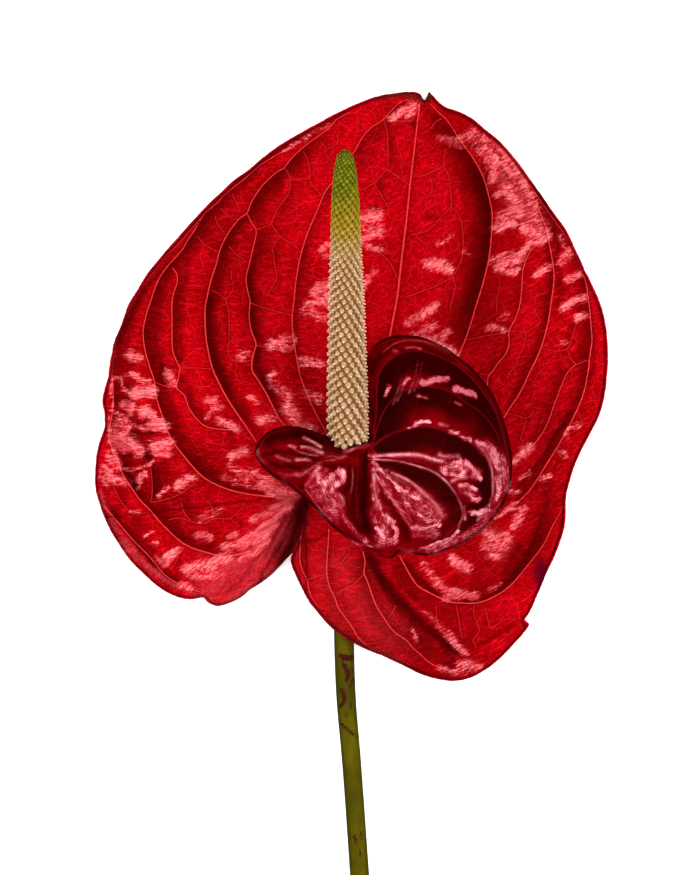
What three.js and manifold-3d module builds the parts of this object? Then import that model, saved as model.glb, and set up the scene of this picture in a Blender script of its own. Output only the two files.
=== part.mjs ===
// A cut anthurium flower with a large and a small spathe, lying on its back.
// Millimetres, +Z up. The tip of the large spathe points along +Y and the stem along -Y.
// Shapes are laid out around the point where the stem passes through the large spathe,
// and the whole flower is moved at the end so that the origin is the middle of its footprint.
import * as THREE from "three";
import { mergeVertices } from "three/addons/utils/BufferGeometryUtils.js";
import { ParametricGeometry } from "three/addons/geometries/ParametricGeometry.js";
import Module from "manifold-3d";

const wasm = await Module();
wasm.setup();

// Driving dimensions
const SPATHE_THICKNESS = 1.2;
const GAP = 0.3; // left between pieces that grow out of each other
const STEM_DIAMETER = 5;
const STEM_CUT_ANGLE = THREE.MathUtils.degToRad(35);
const SPADIX_LENGTH = 79.2;
const SPADIX_TILT = THREE.MathUtils.degToRad(25);
const SPADIX_BASE = new THREE.Vector3(-0.5, 4.6, 19.5);
const SPADIX_LEAN = THREE.MathUtils.degToRad(0.6);
const SMALL_CENTRE = new THREE.Vector3(4.75, 1.5, 19);

// How finely the curved pieces are divided
const BLADE_CELL = 5;
const OUTLINE_STEP = 4;
const BOWL_RAYS = 60;
const BOWL_RINGS = 8;
const STEM_STEPS = 64;
const PASSAGE_STEPS = 32;
const STEM_SIDES = 6;
const SPADIX_SIDES = 28;
const MERGE_DISTANCE = 1e-4;
const SLOPE_STEP = 1e-3; // how far apart two places are from which a slope is taken

// Outline of the large spathe, clockwise from its tip, as [x, y]
const LARGE_OUTLINE = [
  [20, 92.6], [23.7, 88.9], [30, 86.7], [37.5, 80.7], [43.7, 73], [50.5, 63.2],
  [56.2, 53.7], [61.2, 43], [63.7, 35], [64.2, 26], [62.5, 13.2], [57.5, 3.2],
  [54.3, -6.2], [53.5, -15], [50.5, -23.7], [46.7, -32.5], [44.4, -39], [39.8, -45.8],
  [33.7, -51.2], [26.2, -54], [17.5, -52], [8.7, -47.7], [0, -43.7], [-7, -38],
  [-11.7, -31.2], [-14.2, -23.7], [-11.9, -17], [-11, -11.4], [-7.6, -8.4], [-3.4, -5],
  [-4.2, -3.6], [-8.8, -6.6], [-12.4, -10.6], [-13.1, -17], [-15.4, -23.9], [-19.9, -28.8],
  [-26.7, -33.6], [-32.9, -35.2], [-36.6, -33.4], [-43.7, -32.7], [-51.2, -27.5],
  [-58, -19.5], [-62.2, -10.7], [-63.7, -3.7], [-62.7, 5], [-61.4, 12.5], [-61.2, 18.7],
  [-58.7, 31.2], [-51.2, 47], [-38.7, 60.7], [-25, 73.7], [-7.5, 85.5], [7, 91.8], [16.2, 92.8],
];

// Heights of the large spathe's middle surface, as [x, y, z]: along its rim, along the ridge
// from which its margin rolls down, along its middle, and between them.
// The tip, the foot of the left lobe and the foot of the right lobe lie on the table.
const LARGE_HEIGHTS = [
  [20, 92, 0.6], [5, 89, 3], [-17, 79, 8], [-38, 60, 12], [-55, 40, 12.5], [-60, 25, 10.5],
  [-62, 8, 7.5], [-62, -8, 5.5], [-55, -23, 4.5], [-42, -32, 2.2], [-30, -34, 0.6],
  [-20, -28, 3.5], [-13, -24, 8.5], [-8, -36, 9.4], [2, -44, 9.6], [14, -50, 6], [27, -53, 1.5],
  [38, -46, 0.6], [45, -36, 5], [52, -20, 11], [56, -4, 15], [62, 12, 16.5], [63.5, 28, 16.5],
  [60, 44, 14.5], [50, 62, 11], [38, 79, 6],
  [-52, -10, 14], [-53, 5, 18.5], [-52, 20, 20.5], [-48, 36, 19.5], [-36, 52, 16.5], [-20, 68, 12.5],
  [45, -22, 14], [50, -5, 18], [57, 10, 20.5], [58.5, 28, 21], [55, 42, 19], [45, 58, 15.5],
  [33, 74, 10.5],
  [0, -2, 13], [0, 20, 11.5], [4, 40, 10.5], [10, 60, 8.5], [15, 78, 4.5],
  [-25, 5, 15.5], [-25, 25, 15], [-20, 45, 13], [-38, 10, 18.5], [-37, 30, 18.5], [-35, -12, 14.5],
  [-45, -16, 11], [-28, -24, 9],
  [25, 15, 14.6], [25, 40, 14.2], [40, 30, 18.2], [35, 55, 14], [40, 5, 17], [30, -12, 14],
  [20, -25, 12.5], [38, -28, 9.5], [5, -30, 13.2], [-5, -24, 13.4], [15, -40, 10],
];
const HEIGHT_REACH = 9; // how far each of those heights is felt

// The left lobe rolls down along the slit between the lobes
const SINUS_LINE = [
  [-6, -7], [-11.7, -11], [-12.5, -17], [-14.8, -24], [-20, -29], [-27, -34],
];
const SINUS_ROLL_DEPTH = 3.5;
const SINUS_ROLL_WIDTH = 5;
const SINUS_ROLL_START = 2; // the roll is full from this point of the line on

// Rim of the small spathe, clockwise from where its right lobe leaves the spadix, as [x, y, z]
const SMALL_RIM = [
  [5.6, 6.2, 19.4], [5.4, 11.2, 19.6], [4.8, 17.5, 20.6], [4.2, 22.5, 22.6],
  [4.2, 26.2, 25.4], [5.4, 28.8, 28.4], [7.6, 30.7, 31], [13.7, 32, 34], [21.2, 30.2, 35],
  [28.7, 25.2, 35], [35.5, 17.2, 34.5], [39.5, 6.2, 33.6], [40, -3.7, 32], [36.7, -11.7, 30],
  [30, -18, 28], [20, -22.2, 25], [12, -21.4, 23], [10, -23, 22], [5, -20.6, 22.5],
  [-2.5, -16.2, 23.5], [-9.5, -9.5, 24.5], [-15, -4.7, 25], [-20.5, -1.2, 24.5],
  [-23.4, 2.5, 23.5], [-22, 6.7, 22.5], [-17.5, 8.9, 22.4], [-10, 8.2, 23.4],
  [-5.6, 4.6, 25], [-3.7, 3, 25.8], [-1.2, 3, 26], [1.2, 3.8, 25.6], [3.4, 4.4, 23.6],
];
const BOWL_STEEPNESS = 2.4; // how late the bowl's wall rises
const BOWL_DIP = 1.6; // how far its floor lies under its centre

// Radius of the spadix over its points, as [distance from its base, radius]
const SPADIX_PROFILE = [
  [0, 0], [0, 4.3], [1, 5], [4, 5.2], [13, 5.2], [26, 4.85], [40, 4.55], [53, 4.05],
  [66.5, 3.5], [74, 2.9], [77.4, 2.2], [78.7, 1.3], [SPADIX_LENGTH, 0],
];

// Middle line of the stem, from its cut end to where it carries the spathes, as [x, y, z]
const STEM_LINE = [
  [12.5, -258, 2.5], [11.4, -230, 2.5], [9, -190, 2.5], [5.9, -150, 2.5], [2.6, -105, 2.6],
  [0.4, -74, 3], [-0.9, -58.7, 3.8], [-1.5, -42.7, 5.2], [-1.5, -26, 7.4], [-1.4, -13, 9.8],
  [-1.2, -5.6, 12], [-0.9, -3.2, 13.8], [-0.5, -1.8, 15.4],
];
const PASSAGE_POINTS = 6; // so many of its last points lie near the large spathe

// The block that cuts the stem's lower end off, and how far behind that end it starts
const KNIFE = new THREE.Vector3(40, 20, 40);
const KNIFE_BACK = 3.75;

// The upright block that cuts the large spathe out of its sheet
const CUTTER_HEIGHT = 60;
const CUTTER_FLOOR = -20;

function toSolid(geometry) {
  const bare = new THREE.BufferGeometry();
  bare.setAttribute("position", geometry.getAttribute("position"));
  bare.setIndex(geometry.index);
  const merged = mergeVertices(bare, MERGE_DISTANCE);
  return new wasm.Manifold(
    new wasm.Mesh({
      numProp: 3,
      vertProperties: merged.attributes.position.array,
      triVerts: new Uint32Array(merged.index.array),
    }),
  );
}

function toGeometry(solid) {
  const { vertProperties, triVerts } = solid.getMesh();
  const geometry = new THREE.BufferGeometry();
  geometry.setAttribute("position", new THREE.BufferAttribute(vertProperties, 3));
  geometry.setIndex(new THREE.BufferAttribute(triVerts, 1));
  return geometry;
}

// Distance from a point to the line along the slit, and whether the point is on the left lobe
function fromSinus(x, y) {
  const point = new THREE.Vector2(x, y);
  let nearest = { distance: Infinity, onLeftLobe: false, along: 0 };
  for (let i = 0; i + 1 < SINUS_LINE.length; i++) {
    const start = new THREE.Vector2(...SINUS_LINE[i]);
    const run = new THREE.Vector2(...SINUS_LINE[i + 1]).sub(start);
    const offset = point.clone().sub(start);
    const part = THREE.MathUtils.clamp(offset.dot(run) / run.lengthSq(), 0, 1);
    const distance = offset.clone().addScaledVector(run, -part).length();
    if (distance < nearest.distance) {
      nearest = { distance, onLeftLobe: run.cross(offset) < 0, along: i + part };
    }
  }
  return nearest;
}

function largeSpatheHeight(x, y) {
  let sum = 0;
  let weights = 0;
  for (const [px, py, pz] of LARGE_HEIGHTS) {
    const weight = Math.exp(-((x - px) ** 2 + (y - py) ** 2) / (2 * HEIGHT_REACH ** 2));
    sum += weight * pz;
    weights += weight;
  }
  const sinus = fromSinus(x, y);
  const roll = sinus.onLeftLobe
    ? SINUS_ROLL_DEPTH * Math.exp(-((sinus.distance / SINUS_ROLL_WIDTH) ** 2))
    : 0;
  const rollStart = THREE.MathUtils.smoothstep(sinus.along, 0, SINUS_ROLL_START);
  return Math.max(sum / weights - roll * rollStart, SPATHE_THICKNESS / 2);
}

function makeStem() {
  const path = new THREE.CatmullRomCurve3(STEM_LINE.map((p) => new THREE.Vector3(...p)));
  const section = new THREE.Shape();
  section.absarc(0, 0, STEM_DIAMETER / 2, 0, 2 * Math.PI);
  const bar = new THREE.ExtrudeGeometry(section, {
    steps: STEM_STEPS,
    curveSegments: STEM_SIDES,
    extrudePath: path,
    bevelEnabled: false,
  });
  // The knife took the lower end off at a slant
  const knife = new THREE.BoxGeometry(KNIFE.x, KNIFE.y, KNIFE.z);
  const cutEnd = path.getPointAt(0);
  knife.translate(0, -KNIFE.y / 2, 0);
  knife.rotateX(-STEM_CUT_ANGLE);
  knife.translate(cutEnd.x, cutEnd.y + KNIFE_BACK, cutEnd.z);
  return toSolid(bar).subtract(toSolid(knife));
}

// A stem that is thicker by the gap all round, to cut its passage through the large spathe
function makeStemPassage() {
  const points = STEM_LINE.slice(-PASSAGE_POINTS).map((p) => new THREE.Vector3(...p));
  const path = new THREE.CatmullRomCurve3(points);
  const section = new THREE.Shape();
  section.absarc(0, 0, STEM_DIAMETER / 2 + GAP, 0, 2 * Math.PI);
  return toSolid(
    new THREE.ExtrudeGeometry(section, {
      steps: PASSAGE_STEPS,
      curveSegments: STEM_SIDES,
      extrudePath: path,
      bevelEnabled: false,
    }),
  );
}

function makeLargeSpathe() {
  const corners = LARGE_OUTLINE.map(([x, y]) => new THREE.Vector3(x, y, 0));
  const rim = new THREE.CatmullRomCurve3(corners, true, "centripetal");
  const steps = Math.round(rim.getLength() / OUTLINE_STEP);
  const outline = new THREE.Shape(rim.getSpacedPoints(steps).slice(0, -1));
  const box = new THREE.Box3().setFromPoints(corners).expandByScalar(BLADE_CELL);
  const size = box.getSize(new THREE.Vector3());
  const middle = box.getCenter(new THREE.Vector3());
  const sheet = new THREE.BoxGeometry(
    size.x,
    size.y,
    SPATHE_THICKNESS,
    Math.round(size.x / BLADE_CELL),
    Math.round(size.y / BLADE_CELL),
    1,
  );
  sheet.translate(middle.x, middle.y, 0);
  const position = sheet.getAttribute("position");
  for (let i = 0; i < position.count; i++) {
    const height = largeSpatheHeight(position.getX(i), position.getY(i));
    position.setZ(i, position.getZ(i) + height);
  }
  const block = { depth: CUTTER_HEIGHT, bevelEnabled: false };
  const cutter = new THREE.ExtrudeGeometry(outline, block);
  cutter.translate(0, 0, CUTTER_FLOOR);
  return toSolid(sheet).intersect(toSolid(cutter)).subtract(makeStemPassage());
}

function makeSmallSpathe() {
  const rimPoints = SMALL_RIM.map((p) => new THREE.Vector3(...p));
  const rim = new THREE.CatmullRomCurve3(rimPoints, true, "centripetal");
  const middleSurface = (around, outwards) => {
    const edge = rim.getPoint(((around % 1) + 1) % 1);
    const point = SMALL_CENTRE.clone().lerp(edge, outwards);
    const rise = (edge.z - SMALL_CENTRE.z) * outwards ** BOWL_STEEPNESS;
    point.z = SMALL_CENTRE.z + rise - BOWL_DIP * Math.sin(Math.PI * outwards);
    return point;
  };
  // The surface runs from the centre out over the inside, round the rim and back underneath
  const shell = (around, way, target) => {
    const inside = way < 0.5;
    const outwards = Math.min(inside ? 2 * way : 2 - 2 * way, 1);
    if (outwards < SLOPE_STEP / 2) {
      target.copy(SMALL_CENTRE);
      target.z += (inside ? 0.5 : -0.5) * SPATHE_THICKNESS;
      return;
    }
    const point = middleSurface(around, outwards);
    const sideways = middleSurface(around + SLOPE_STEP, outwards).sub(point);
    const outward = middleSurface(around, outwards + SLOPE_STEP).sub(point);
    const normal = outward.cross(sideways).normalize();
    if (normal.z < 0) normal.negate();
    target.copy(point).addScaledVector(normal, (inside ? 0.5 : -0.5) * SPATHE_THICKNESS);
  };
  const bowl = new ParametricGeometry(shell, BOWL_RAYS, 2 * BOWL_RINGS + 1);
  return toSolid(bowl);
}

function spadixGeometry(extra) {
  const profile = SPADIX_PROFILE.map(([along, radius], i) => {
    const end = i === SPADIX_PROFILE.length - 1;
    const low = along === 0;
    const shift = end ? extra : low ? -extra : 0;
    return new THREE.Vector2(radius > 0 ? radius + extra : 0, along + shift);
  });
  return new THREE.LatheGeometry(profile, SPADIX_SIDES);
}

function leaf(colour, roughness) {
  return new THREE.MeshStandardMaterial({ color: colour, roughness, metalness: 0 });
}

const flower = new THREE.Group();

function addPiece(name, geometry, material) {
  const mesh = new THREE.Mesh(geometry, material);
  mesh.name = name;
  flower.add(mesh);
  return mesh;
}

function poseSpadix(object) {
  object.position.copy(SPADIX_BASE);
  object.rotation.set(SPADIX_TILT, 0, SPADIX_LEAN);
  object.updateMatrix();
  return object;
}

const spadix = poseSpadix(addPiece("spadix", spadixGeometry(0), leaf(0xc8ae80, 0.6)));
const spadixRoom = toSolid(spadixGeometry(GAP).applyMatrix4(spadix.matrix));

addPiece("stem", toGeometry(makeStem()), leaf(0x5c5c08, 0.5));
addPiece("large_spathe", toGeometry(makeLargeSpathe()), leaf(0xc8000f, 0.25));
addPiece("small_spathe", toGeometry(makeSmallSpathe().subtract(spadixRoom)), leaf(0x4a0006, 0.15));

const footprint = new THREE.Box3().setFromObject(flower, true);
const middle = footprint.getCenter(new THREE.Vector3());
flower.position.set(-middle.x, -middle.y, -footprint.min.z);

const part = new THREE.Group();
part.add(flower);
export default part;
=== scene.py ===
"""A cut anthurium flower lying on its back, with its face up.

Shapes are drawn from straight above on a squared plan, one square to SQUARE metres. Columns run
to the right and rows run down, towards the cut end of the stem. Heights are in millimetres above
the table. The stem passes through the large spathe under ROOT_SQUARE.
"""

import math

import bpy
import numpy as np
from mathutils import Matrix, Vector, noise
from mathutils.bvhtree import BVHTree


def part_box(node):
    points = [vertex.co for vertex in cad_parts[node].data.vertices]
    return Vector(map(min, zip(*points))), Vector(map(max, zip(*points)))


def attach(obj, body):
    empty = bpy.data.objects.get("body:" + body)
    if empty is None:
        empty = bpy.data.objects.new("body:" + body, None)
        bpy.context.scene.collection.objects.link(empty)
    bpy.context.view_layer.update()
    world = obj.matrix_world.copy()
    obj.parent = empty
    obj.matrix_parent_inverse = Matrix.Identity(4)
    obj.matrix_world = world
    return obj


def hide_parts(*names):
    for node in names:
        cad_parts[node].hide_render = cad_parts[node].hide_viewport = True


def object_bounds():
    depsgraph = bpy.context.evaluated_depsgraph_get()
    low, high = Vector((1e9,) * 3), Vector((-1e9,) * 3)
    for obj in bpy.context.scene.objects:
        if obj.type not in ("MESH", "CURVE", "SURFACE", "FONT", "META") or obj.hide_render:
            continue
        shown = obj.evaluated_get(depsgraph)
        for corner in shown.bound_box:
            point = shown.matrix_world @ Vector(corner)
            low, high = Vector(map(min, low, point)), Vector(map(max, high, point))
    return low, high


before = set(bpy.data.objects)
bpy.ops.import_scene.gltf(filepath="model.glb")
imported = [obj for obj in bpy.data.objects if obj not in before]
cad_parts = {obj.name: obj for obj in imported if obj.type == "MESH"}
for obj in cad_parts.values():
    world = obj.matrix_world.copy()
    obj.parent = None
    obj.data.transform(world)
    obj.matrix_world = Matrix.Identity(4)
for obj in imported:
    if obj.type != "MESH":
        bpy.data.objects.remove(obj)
cad_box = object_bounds()

NOISE_SEED = 4  # of the ragged edges. Without one they would come out otherwise in each run
noise.seed_set(NOISE_SEED)

# --------------------------------------------------------------------------- plan and camera

MM = 0.001
SQUARE = 0.00025
SQUARE_MM = SQUARE / MM
ROOT_SQUARE = (350, 465)
PLAN_SIZE = (700, 875)

CAMERA_HEIGHT = 1200.0  # above the level at which the plan is drawn to scale
PLAN_LEVEL = 12.0
SENSOR = 36.0

# Outline of the large spathe, clockwise from its tip, on the plan
LARGE_OUTLINE = [
    (426, 100), (429, 91), (432, 95), (438, 102), (446, 108), (458, 112), (470, 118), (485, 130),
    (500, 142), (513, 157), (525, 173), (540, 194), (552, 212), (565, 230), (575, 250), (585, 272),
    (595, 293), (601, 308), (605, 325), (607, 345), (607, 370), (604, 395), (600, 412), (590, 433),
    (580, 452), (572, 472), (567, 490), (565, 505), (564, 525), (558, 545), (552, 560), (545, 575),
    (537, 595), (528, 615), (524, 621), (529, 625), (525, 631), (510, 648), (498, 660), (485, 670),
    (470, 678), (455, 681), (440, 679), (420, 673), (400, 663), (385, 656), (370, 650), (350, 640),
    (335, 630), (322, 617), (312, 605), (303, 590), (296, 575), (291, 560), (296, 548), (301, 540),
    (304, 525), (306, 510), (307, 498), (305, 489), (301, 494), (300, 515), (298, 535), (293, 549),
    (283, 562), (273, 573), (261, 583), (250, 590), (242, 597), (230, 603), (218, 606), (208, 602),
    (205, 598), (190, 599), (175, 596), (160, 588), (145, 575), (130, 560), (118, 543), (108, 525),
    (101, 508), (97, 495), (95, 480), (96, 460), (99, 445), (104, 430), (105, 415), (103, 402),
    (105, 390), (109, 375), (112, 355), (115, 340), (121, 325), (129, 305), (138, 290), (147, 276),
    (158, 262), (168, 250), (179, 238), (193, 222), (208, 206), (223, 192), (235, 181), (250, 170),
    (265, 157), (280, 146), (300, 134), (320, 123), (345, 110), (360, 103), (380, 96), (400, 93),
    (412, 92), (420, 94), (423, 99),
]

# Heights of the large spathe, as (x, y, z) in millimetres from the stem: along its rim, along the
# ridge from which its margin rolls down, along its middle, and between them
LARGE_HEIGHTS = [
    (20, 92, 0.6), (5, 89, 3), (-17, 79, 8), (-38, 60, 12), (-55, 40, 12.5), (-60, 25, 10.5),
    (-62, 8, 7.5), (-62, -8, 5.5), (-55, -23, 4.5), (-42, -32, 2.2), (-30, -34, 0.6),
    (-20, -28, 3.5), (-13, -24, 8.5), (-8, -36, 9.4), (2, -44, 9.6), (14, -50, 6), (27, -53, 1.5),
    (38, -46, 0.6), (45, -36, 5), (52, -20, 11), (56, -4, 15), (62, 12, 16.5), (63.5, 28, 16.5),
    (60, 44, 14.5), (50, 62, 11), (38, 79, 6),
    (-52, -10, 14), (-53, 5, 18.5), (-52, 20, 20.5), (-48, 36, 19.5), (-36, 52, 16.5),
    (-20, 68, 12.5), (45, -22, 14), (50, -5, 18), (57, 10, 20.5), (58.5, 28, 21), (55, 42, 19),
    (45, 58, 15.5), (33, 74, 10.5),
    (0, -2, 13), (0, 20, 11.5), (4, 40, 10.5), (10, 60, 8.5), (15, 78, 4.5),
    (-25, 5, 15.5), (-25, 25, 15), (-20, 45, 13), (-38, 10, 18.5), (-37, 30, 18.5),
    (-35, -12, 14.5), (-45, -16, 11), (-28, -24, 9),
    (25, 15, 14.6), (25, 40, 14.2), (40, 30, 18.2), (35, 55, 14), (40, 5, 17), (30, -12, 14),
    (20, -25, 12.5), (38, -28, 9.5), (5, -30, 13.2), (-5, -24, 13.4), (15, -40, 10),
]
HEIGHT_REACH = 9.0
# Down the middle of the slit, as (x, y) in millimetres from the stem. The left lobe rolls down
# beside it.
SLIT_MIDDLE = np.array([
    (-6, -7), (-11.7, -11), (-12.3, -17), (-13.2, -19.6), (-13.95, -21), (-15.1, -22.8),
    (-20, -29), (-27, -34),
])
SLIT_ROLL_DEPTH = 4.5
SLIT_ROLL_WIDTH = 7.5
LEAF_THICKNESS = 0.7
LARGE_CELL = 0.56

# Main veins of the large spathe: groove depth, how far the groove reaches, half widths of the
# pale line at both ends, all in millimetres, and the course of the vein on the plan
LARGE_VEINS = [
    (0.8, 3.0, 0.50, 0.24, [
        (352, 478), (362, 440), (375, 400), (388, 345), (393, 320), (398, 292), (401, 265),
        (404, 240), (407, 215), (410, 185), (413, 160), (416, 135), (418, 118), (420, 103)]),
    (0.9, 2.6, 0.30, 0.16, [
        (335, 450), (328, 436), (322, 425), (315, 412), (307, 395), (300, 375), (296, 355),
        (293, 335), (292, 318), (294, 300), (296, 280), (301, 254), (308, 232), (317, 211),
        (325, 192), (331, 184), (342, 168), (354, 152), (362, 138), (372, 127), (383, 120),
        (390, 112), (398, 104), (408, 99)]),
    (1.3, 2.8, 0.30, 0.18, [
        (287, 428), (280, 420), (273, 407), (266, 393), (258, 380), (252, 370), (253, 355),
        (256, 345), (251, 330), (249, 315), (250, 302), (247, 288), (246, 278), (249, 265),
        (253, 248), (256, 230), (251, 222), (247, 213)]),
    (1.4, 2.8, 0.32, 0.16, [
        (257, 443), (247, 428), (238, 415), (228, 400), (220, 385), (213, 370), (209, 355),
        (206, 338), (205, 320), (205, 308), (208, 293), (211, 280), (216, 265), (220, 250),
        (227, 235), (234, 225), (240, 218), (247, 213), (251, 203), (257, 193), (262, 186),
        (270, 178), (277, 172), (284, 168), (290, 160), (300, 150), (310, 142), (320, 135),
        (330, 127), (337, 119), (350, 112)]),
    (0.8, 2.2, 0.24, 0.18, [
        (180, 368), (177, 362), (173, 352), (172, 340), (172, 322), (172, 302), (174, 292),
        (177, 283), (177, 275), (172, 267)]),
    (0.9, 2.2, 0.20, 0.20, [
        (240, 430), (218, 429), (205, 426), (196, 418), (189, 408), (184, 395), (176, 387),
        (178, 380), (180, 368)]),
    (1.2, 2.6, 0.32, 0.15, [
        (295, 496), (265, 496), (248, 494), (230, 490), (215, 484), (203, 477), (193, 467),
        (183, 455), (174, 443), (167, 430), (162, 415), (157, 400), (154, 380), (150, 368),
        (145, 350), (143, 332), (145, 320), (147, 312), (151, 300), (155, 288), (160, 277),
        (167, 267), (175, 258), (182, 250), (188, 240), (194, 231), (199, 222), (204, 214),
        (212, 207), (218, 202), (225, 194), (243, 180), (262, 164), (290, 147)]),
    (1.0, 2.2, 0.30, 0.15, [
        (250, 550), (240, 554), (222, 556), (205, 552), (190, 547), (180, 541), (170, 532),
        (160, 522), (150, 510), (140, 500), (131, 487), (123, 475), (118, 460), (112, 448),
        (109, 437), (110, 425), (113, 408), (113, 390), (112, 372), (114, 355), (118, 335),
        (125, 318), (133, 302), (145, 283), (155, 270), (165, 257), (177, 245), (190, 230),
        (200, 219)]),
    (0.5, 1.6, 0.22, 0.15, [
        (101, 503), (110, 513), (122, 527), (133, 540), (145, 552), (155, 563), (163, 573),
        (175, 582), (200, 592)]),
    (2.6, 4.0, 0.28, 0.16, [
        (458, 357), (466, 338), (472, 320), (477, 303), (482, 287), (486, 272), (489, 258),
        (491, 240), (492, 225), (492, 212), (489, 197), (485, 182), (480, 170), (473, 158),
        (466, 148), (459, 139), (453, 129), (446, 119), (438, 112), (430, 103)]),
    (0.9, 2.2, 0.26, 0.18, [
        (487, 387), (489, 375), (493, 371), (498, 363), (505, 355), (509, 345), (509, 331),
        (512, 325), (518, 312), (521, 297), (522, 283), (523, 270), (527, 258), (533, 248),
        (540, 243), (549, 240)]),
    (1.0, 2.4, 0.30, 0.15, [
        (504, 418), (510, 408), (517, 398), (524, 385), (530, 372), (536, 360), (541, 348),
        (545, 335), (549, 318), (551, 303), (553, 290), (554, 275), (552, 258), (549, 242),
        (547, 230), (542, 218), (537, 205), (530, 193), (523, 180), (515, 165), (500, 148)]),
    (0.8, 2.2, 0.26, 0.16, [
        (513, 464), (520, 458), (528, 450), (536, 442), (543, 432), (549, 420), (553, 408),
        (558, 395), (563, 382), (568, 372), (576, 364)]),
    (0.9, 2.4, 0.30, 0.15, [
        (495, 520), (505, 513), (515, 505), (530, 490), (540, 475), (548, 462), (558, 446),
        (567, 430), (575, 414), (583, 395), (588, 372), (590, 355), (592, 340), (591, 325),
        (590, 312), (588, 297), (586, 283), (581, 268), (575, 254), (568, 240), (560, 228),
        (552, 217), (545, 207), (530, 185)]),
    (1.2, 2.8, 0.30, 0.16, [
        (399, 555), (404, 564), (410, 575), (418, 586), (428, 592), (440, 598), (450, 602),
        (462, 603), (476, 603), (487, 600), (497, 595), (505, 590), (513, 583), (520, 575),
        (528, 565), (536, 555), (545, 542), (552, 527), (560, 513), (565, 500)]),
    (1.1, 2.4, 0.28, 0.16, [
        (363, 552), (365, 562), (364, 573), (368, 583), (372, 595), (377, 607), (384, 618),
        (390, 627), (397, 634), (406, 640), (413, 648), (421, 655), (430, 663), (445, 670)]),
    (0.9, 2.2, 0.26, 0.16, [
        (329, 528), (328, 545), (327, 560), (327, 575), (330, 588), (335, 598), (338, 607),
        (345, 617), (352, 627), (358, 637), (366, 645), (375, 650), (395, 658), (410, 665)]),
    (0.5, 1.6, 0.22, 0.15, [
        (301, 535), (300, 550), (300, 562), (303, 572), (307, 580), (309, 590), (312, 598),
        (318, 607)]),
]

# Cross veins of the large spathe, on the plan
CROSS_DEPTH = 0.7
CROSS_REACH = 1.7
CROSS_HALF_WIDTH = 0.105
LARGE_CROSS_VEINS = [
    [(256, 230), (264, 227), (271, 224), (275, 213), (281, 204), (287, 196), (290, 188),
     (290, 178), (287, 171), (284, 168)],
    [(271, 224), (276, 231), (281, 237), (290, 243), (298, 249)],
    [(281, 237), (276, 241), (273, 248), (274, 258), (275, 268), (277, 277), (272, 287),
     (266, 297)],
    [(250, 303), (262, 307), (275, 311), (292, 315)],
    [(256, 345), (272, 349), (293, 353)],
    [(247, 262), (240, 257), (234, 252), (229, 246)],
    [(212, 290), (219, 294), (225, 299), (229, 296), (233, 289), (233, 283), (231, 277),
     (232, 270)],
    [(225, 299), (228, 307), (229, 315), (229, 340)],
    [(230, 338), (228, 350), (232, 360), (245, 362), (251, 360)],
    [(197, 236), (203, 243), (210, 248), (219, 252)],
    [(220, 208), (226, 214), (233, 219), (238, 219)],
    [(215, 216), (217, 223), (221, 229), (226, 235)],
    [(232, 193), (236, 203), (240, 212)],
    [(303, 151), (307, 158), (309, 166), (310, 173), (309, 178), (300, 179), (291, 180)],
    [(309, 178), (312, 185), (317, 190), (321, 196)],
    [(321, 142), (325, 148), (326, 155), (331, 161), (335, 167)],
    [(342, 131), (337, 135), (338, 142), (332, 147), (326, 149)],
    [(155, 382), (165, 386), (176, 387)],
    [(180, 368), (195, 368), (212, 369)],
    [(150, 463), (152, 480), (152, 495), (150, 503)],
    [(150, 503), (163, 500), (178, 495), (190, 487), (200, 477)],
    [(112, 483), (118, 497), (128, 510), (137, 515), (148, 512)],
    [(168, 520), (178, 518), (190, 521), (203, 524), (213, 519), (230, 518), (240, 510),
     (245, 502)],
    [(230, 518), (240, 527)],
    [(181, 502), (184, 512), (190, 520)],
    [(213, 519), (212, 508), (207, 500)],
    [(185, 547), (180, 553), (176, 562), (170, 570)],
    [(420, 134), (427, 131), (432, 127), (436, 121), (441, 119)],
    [(418, 177), (425, 175), (433, 171), (443, 166), (444, 155), (446, 148)],
    [(443, 166), (448, 174), (450, 185), (451, 195), (451, 207), (445, 213), (438, 221),
     (427, 231), (420, 233), (411, 235)],
    [(451, 207), (457, 212), (461, 222), (463, 235), (463, 248), (462, 258), (458, 267),
     (453, 276), (445, 281), (436, 286), (425, 290), (415, 294), (403, 298)],
    [(453, 276), (455, 288), (452, 300), (450, 310)],
    [(430, 177), (432, 185), (431, 193), (427, 199), (425, 203), (428, 208), (434, 213)],
    [(384, 121), (387, 132), (388, 150), (388, 168)],
    [(388, 168), (374, 183), (362, 190)],
    [(388, 170), (397, 176), (405, 182), (410, 185)],
    [(374, 183), (381, 195), (388, 207)],
    [(383, 120), (395, 121), (413, 121)],
    [(361, 244), (372, 248), (382, 255), (390, 263), (395, 272), (399, 282)],
    [(509, 331), (497, 334), (485, 336), (467, 340)],
    [(489, 375), (480, 374)],
    [(509, 331), (517, 331), (526, 332), (533, 328), (540, 322), (536, 313), (534, 307)],
    [(526, 332), (524, 345), (518, 358), (515, 367), (510, 372), (507, 380)],
    [(543, 349), (555, 351), (567, 349), (572, 338), (576, 325), (582, 318)],
    [(567, 349), (570, 357), (576, 364), (585, 361), (590, 360)],
    [(505, 413), (515, 415), (527, 418), (535, 410)],
    [(527, 418), (524, 428), (520, 440)],
    [(500, 285), (497, 300), (497, 313)],
    [(307, 580), (318, 576), (327, 574)],
    [(336, 594), (345, 589), (355, 583), (362, 576), (364, 574)],
    [(340, 566), (345, 558), (350, 553)],
    [(436, 605), (437, 620), (440, 630)],
    [(456, 604), (458, 615), (460, 628), (462, 638)],
    [(474, 605), (474, 615), (478, 625), (479, 632), (473, 640), (476, 647)],
    [(485, 608), (488, 620), (490, 628), (500, 622), (505, 615)],
    [(396, 605), (392, 613), (388, 618)],
]

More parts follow.
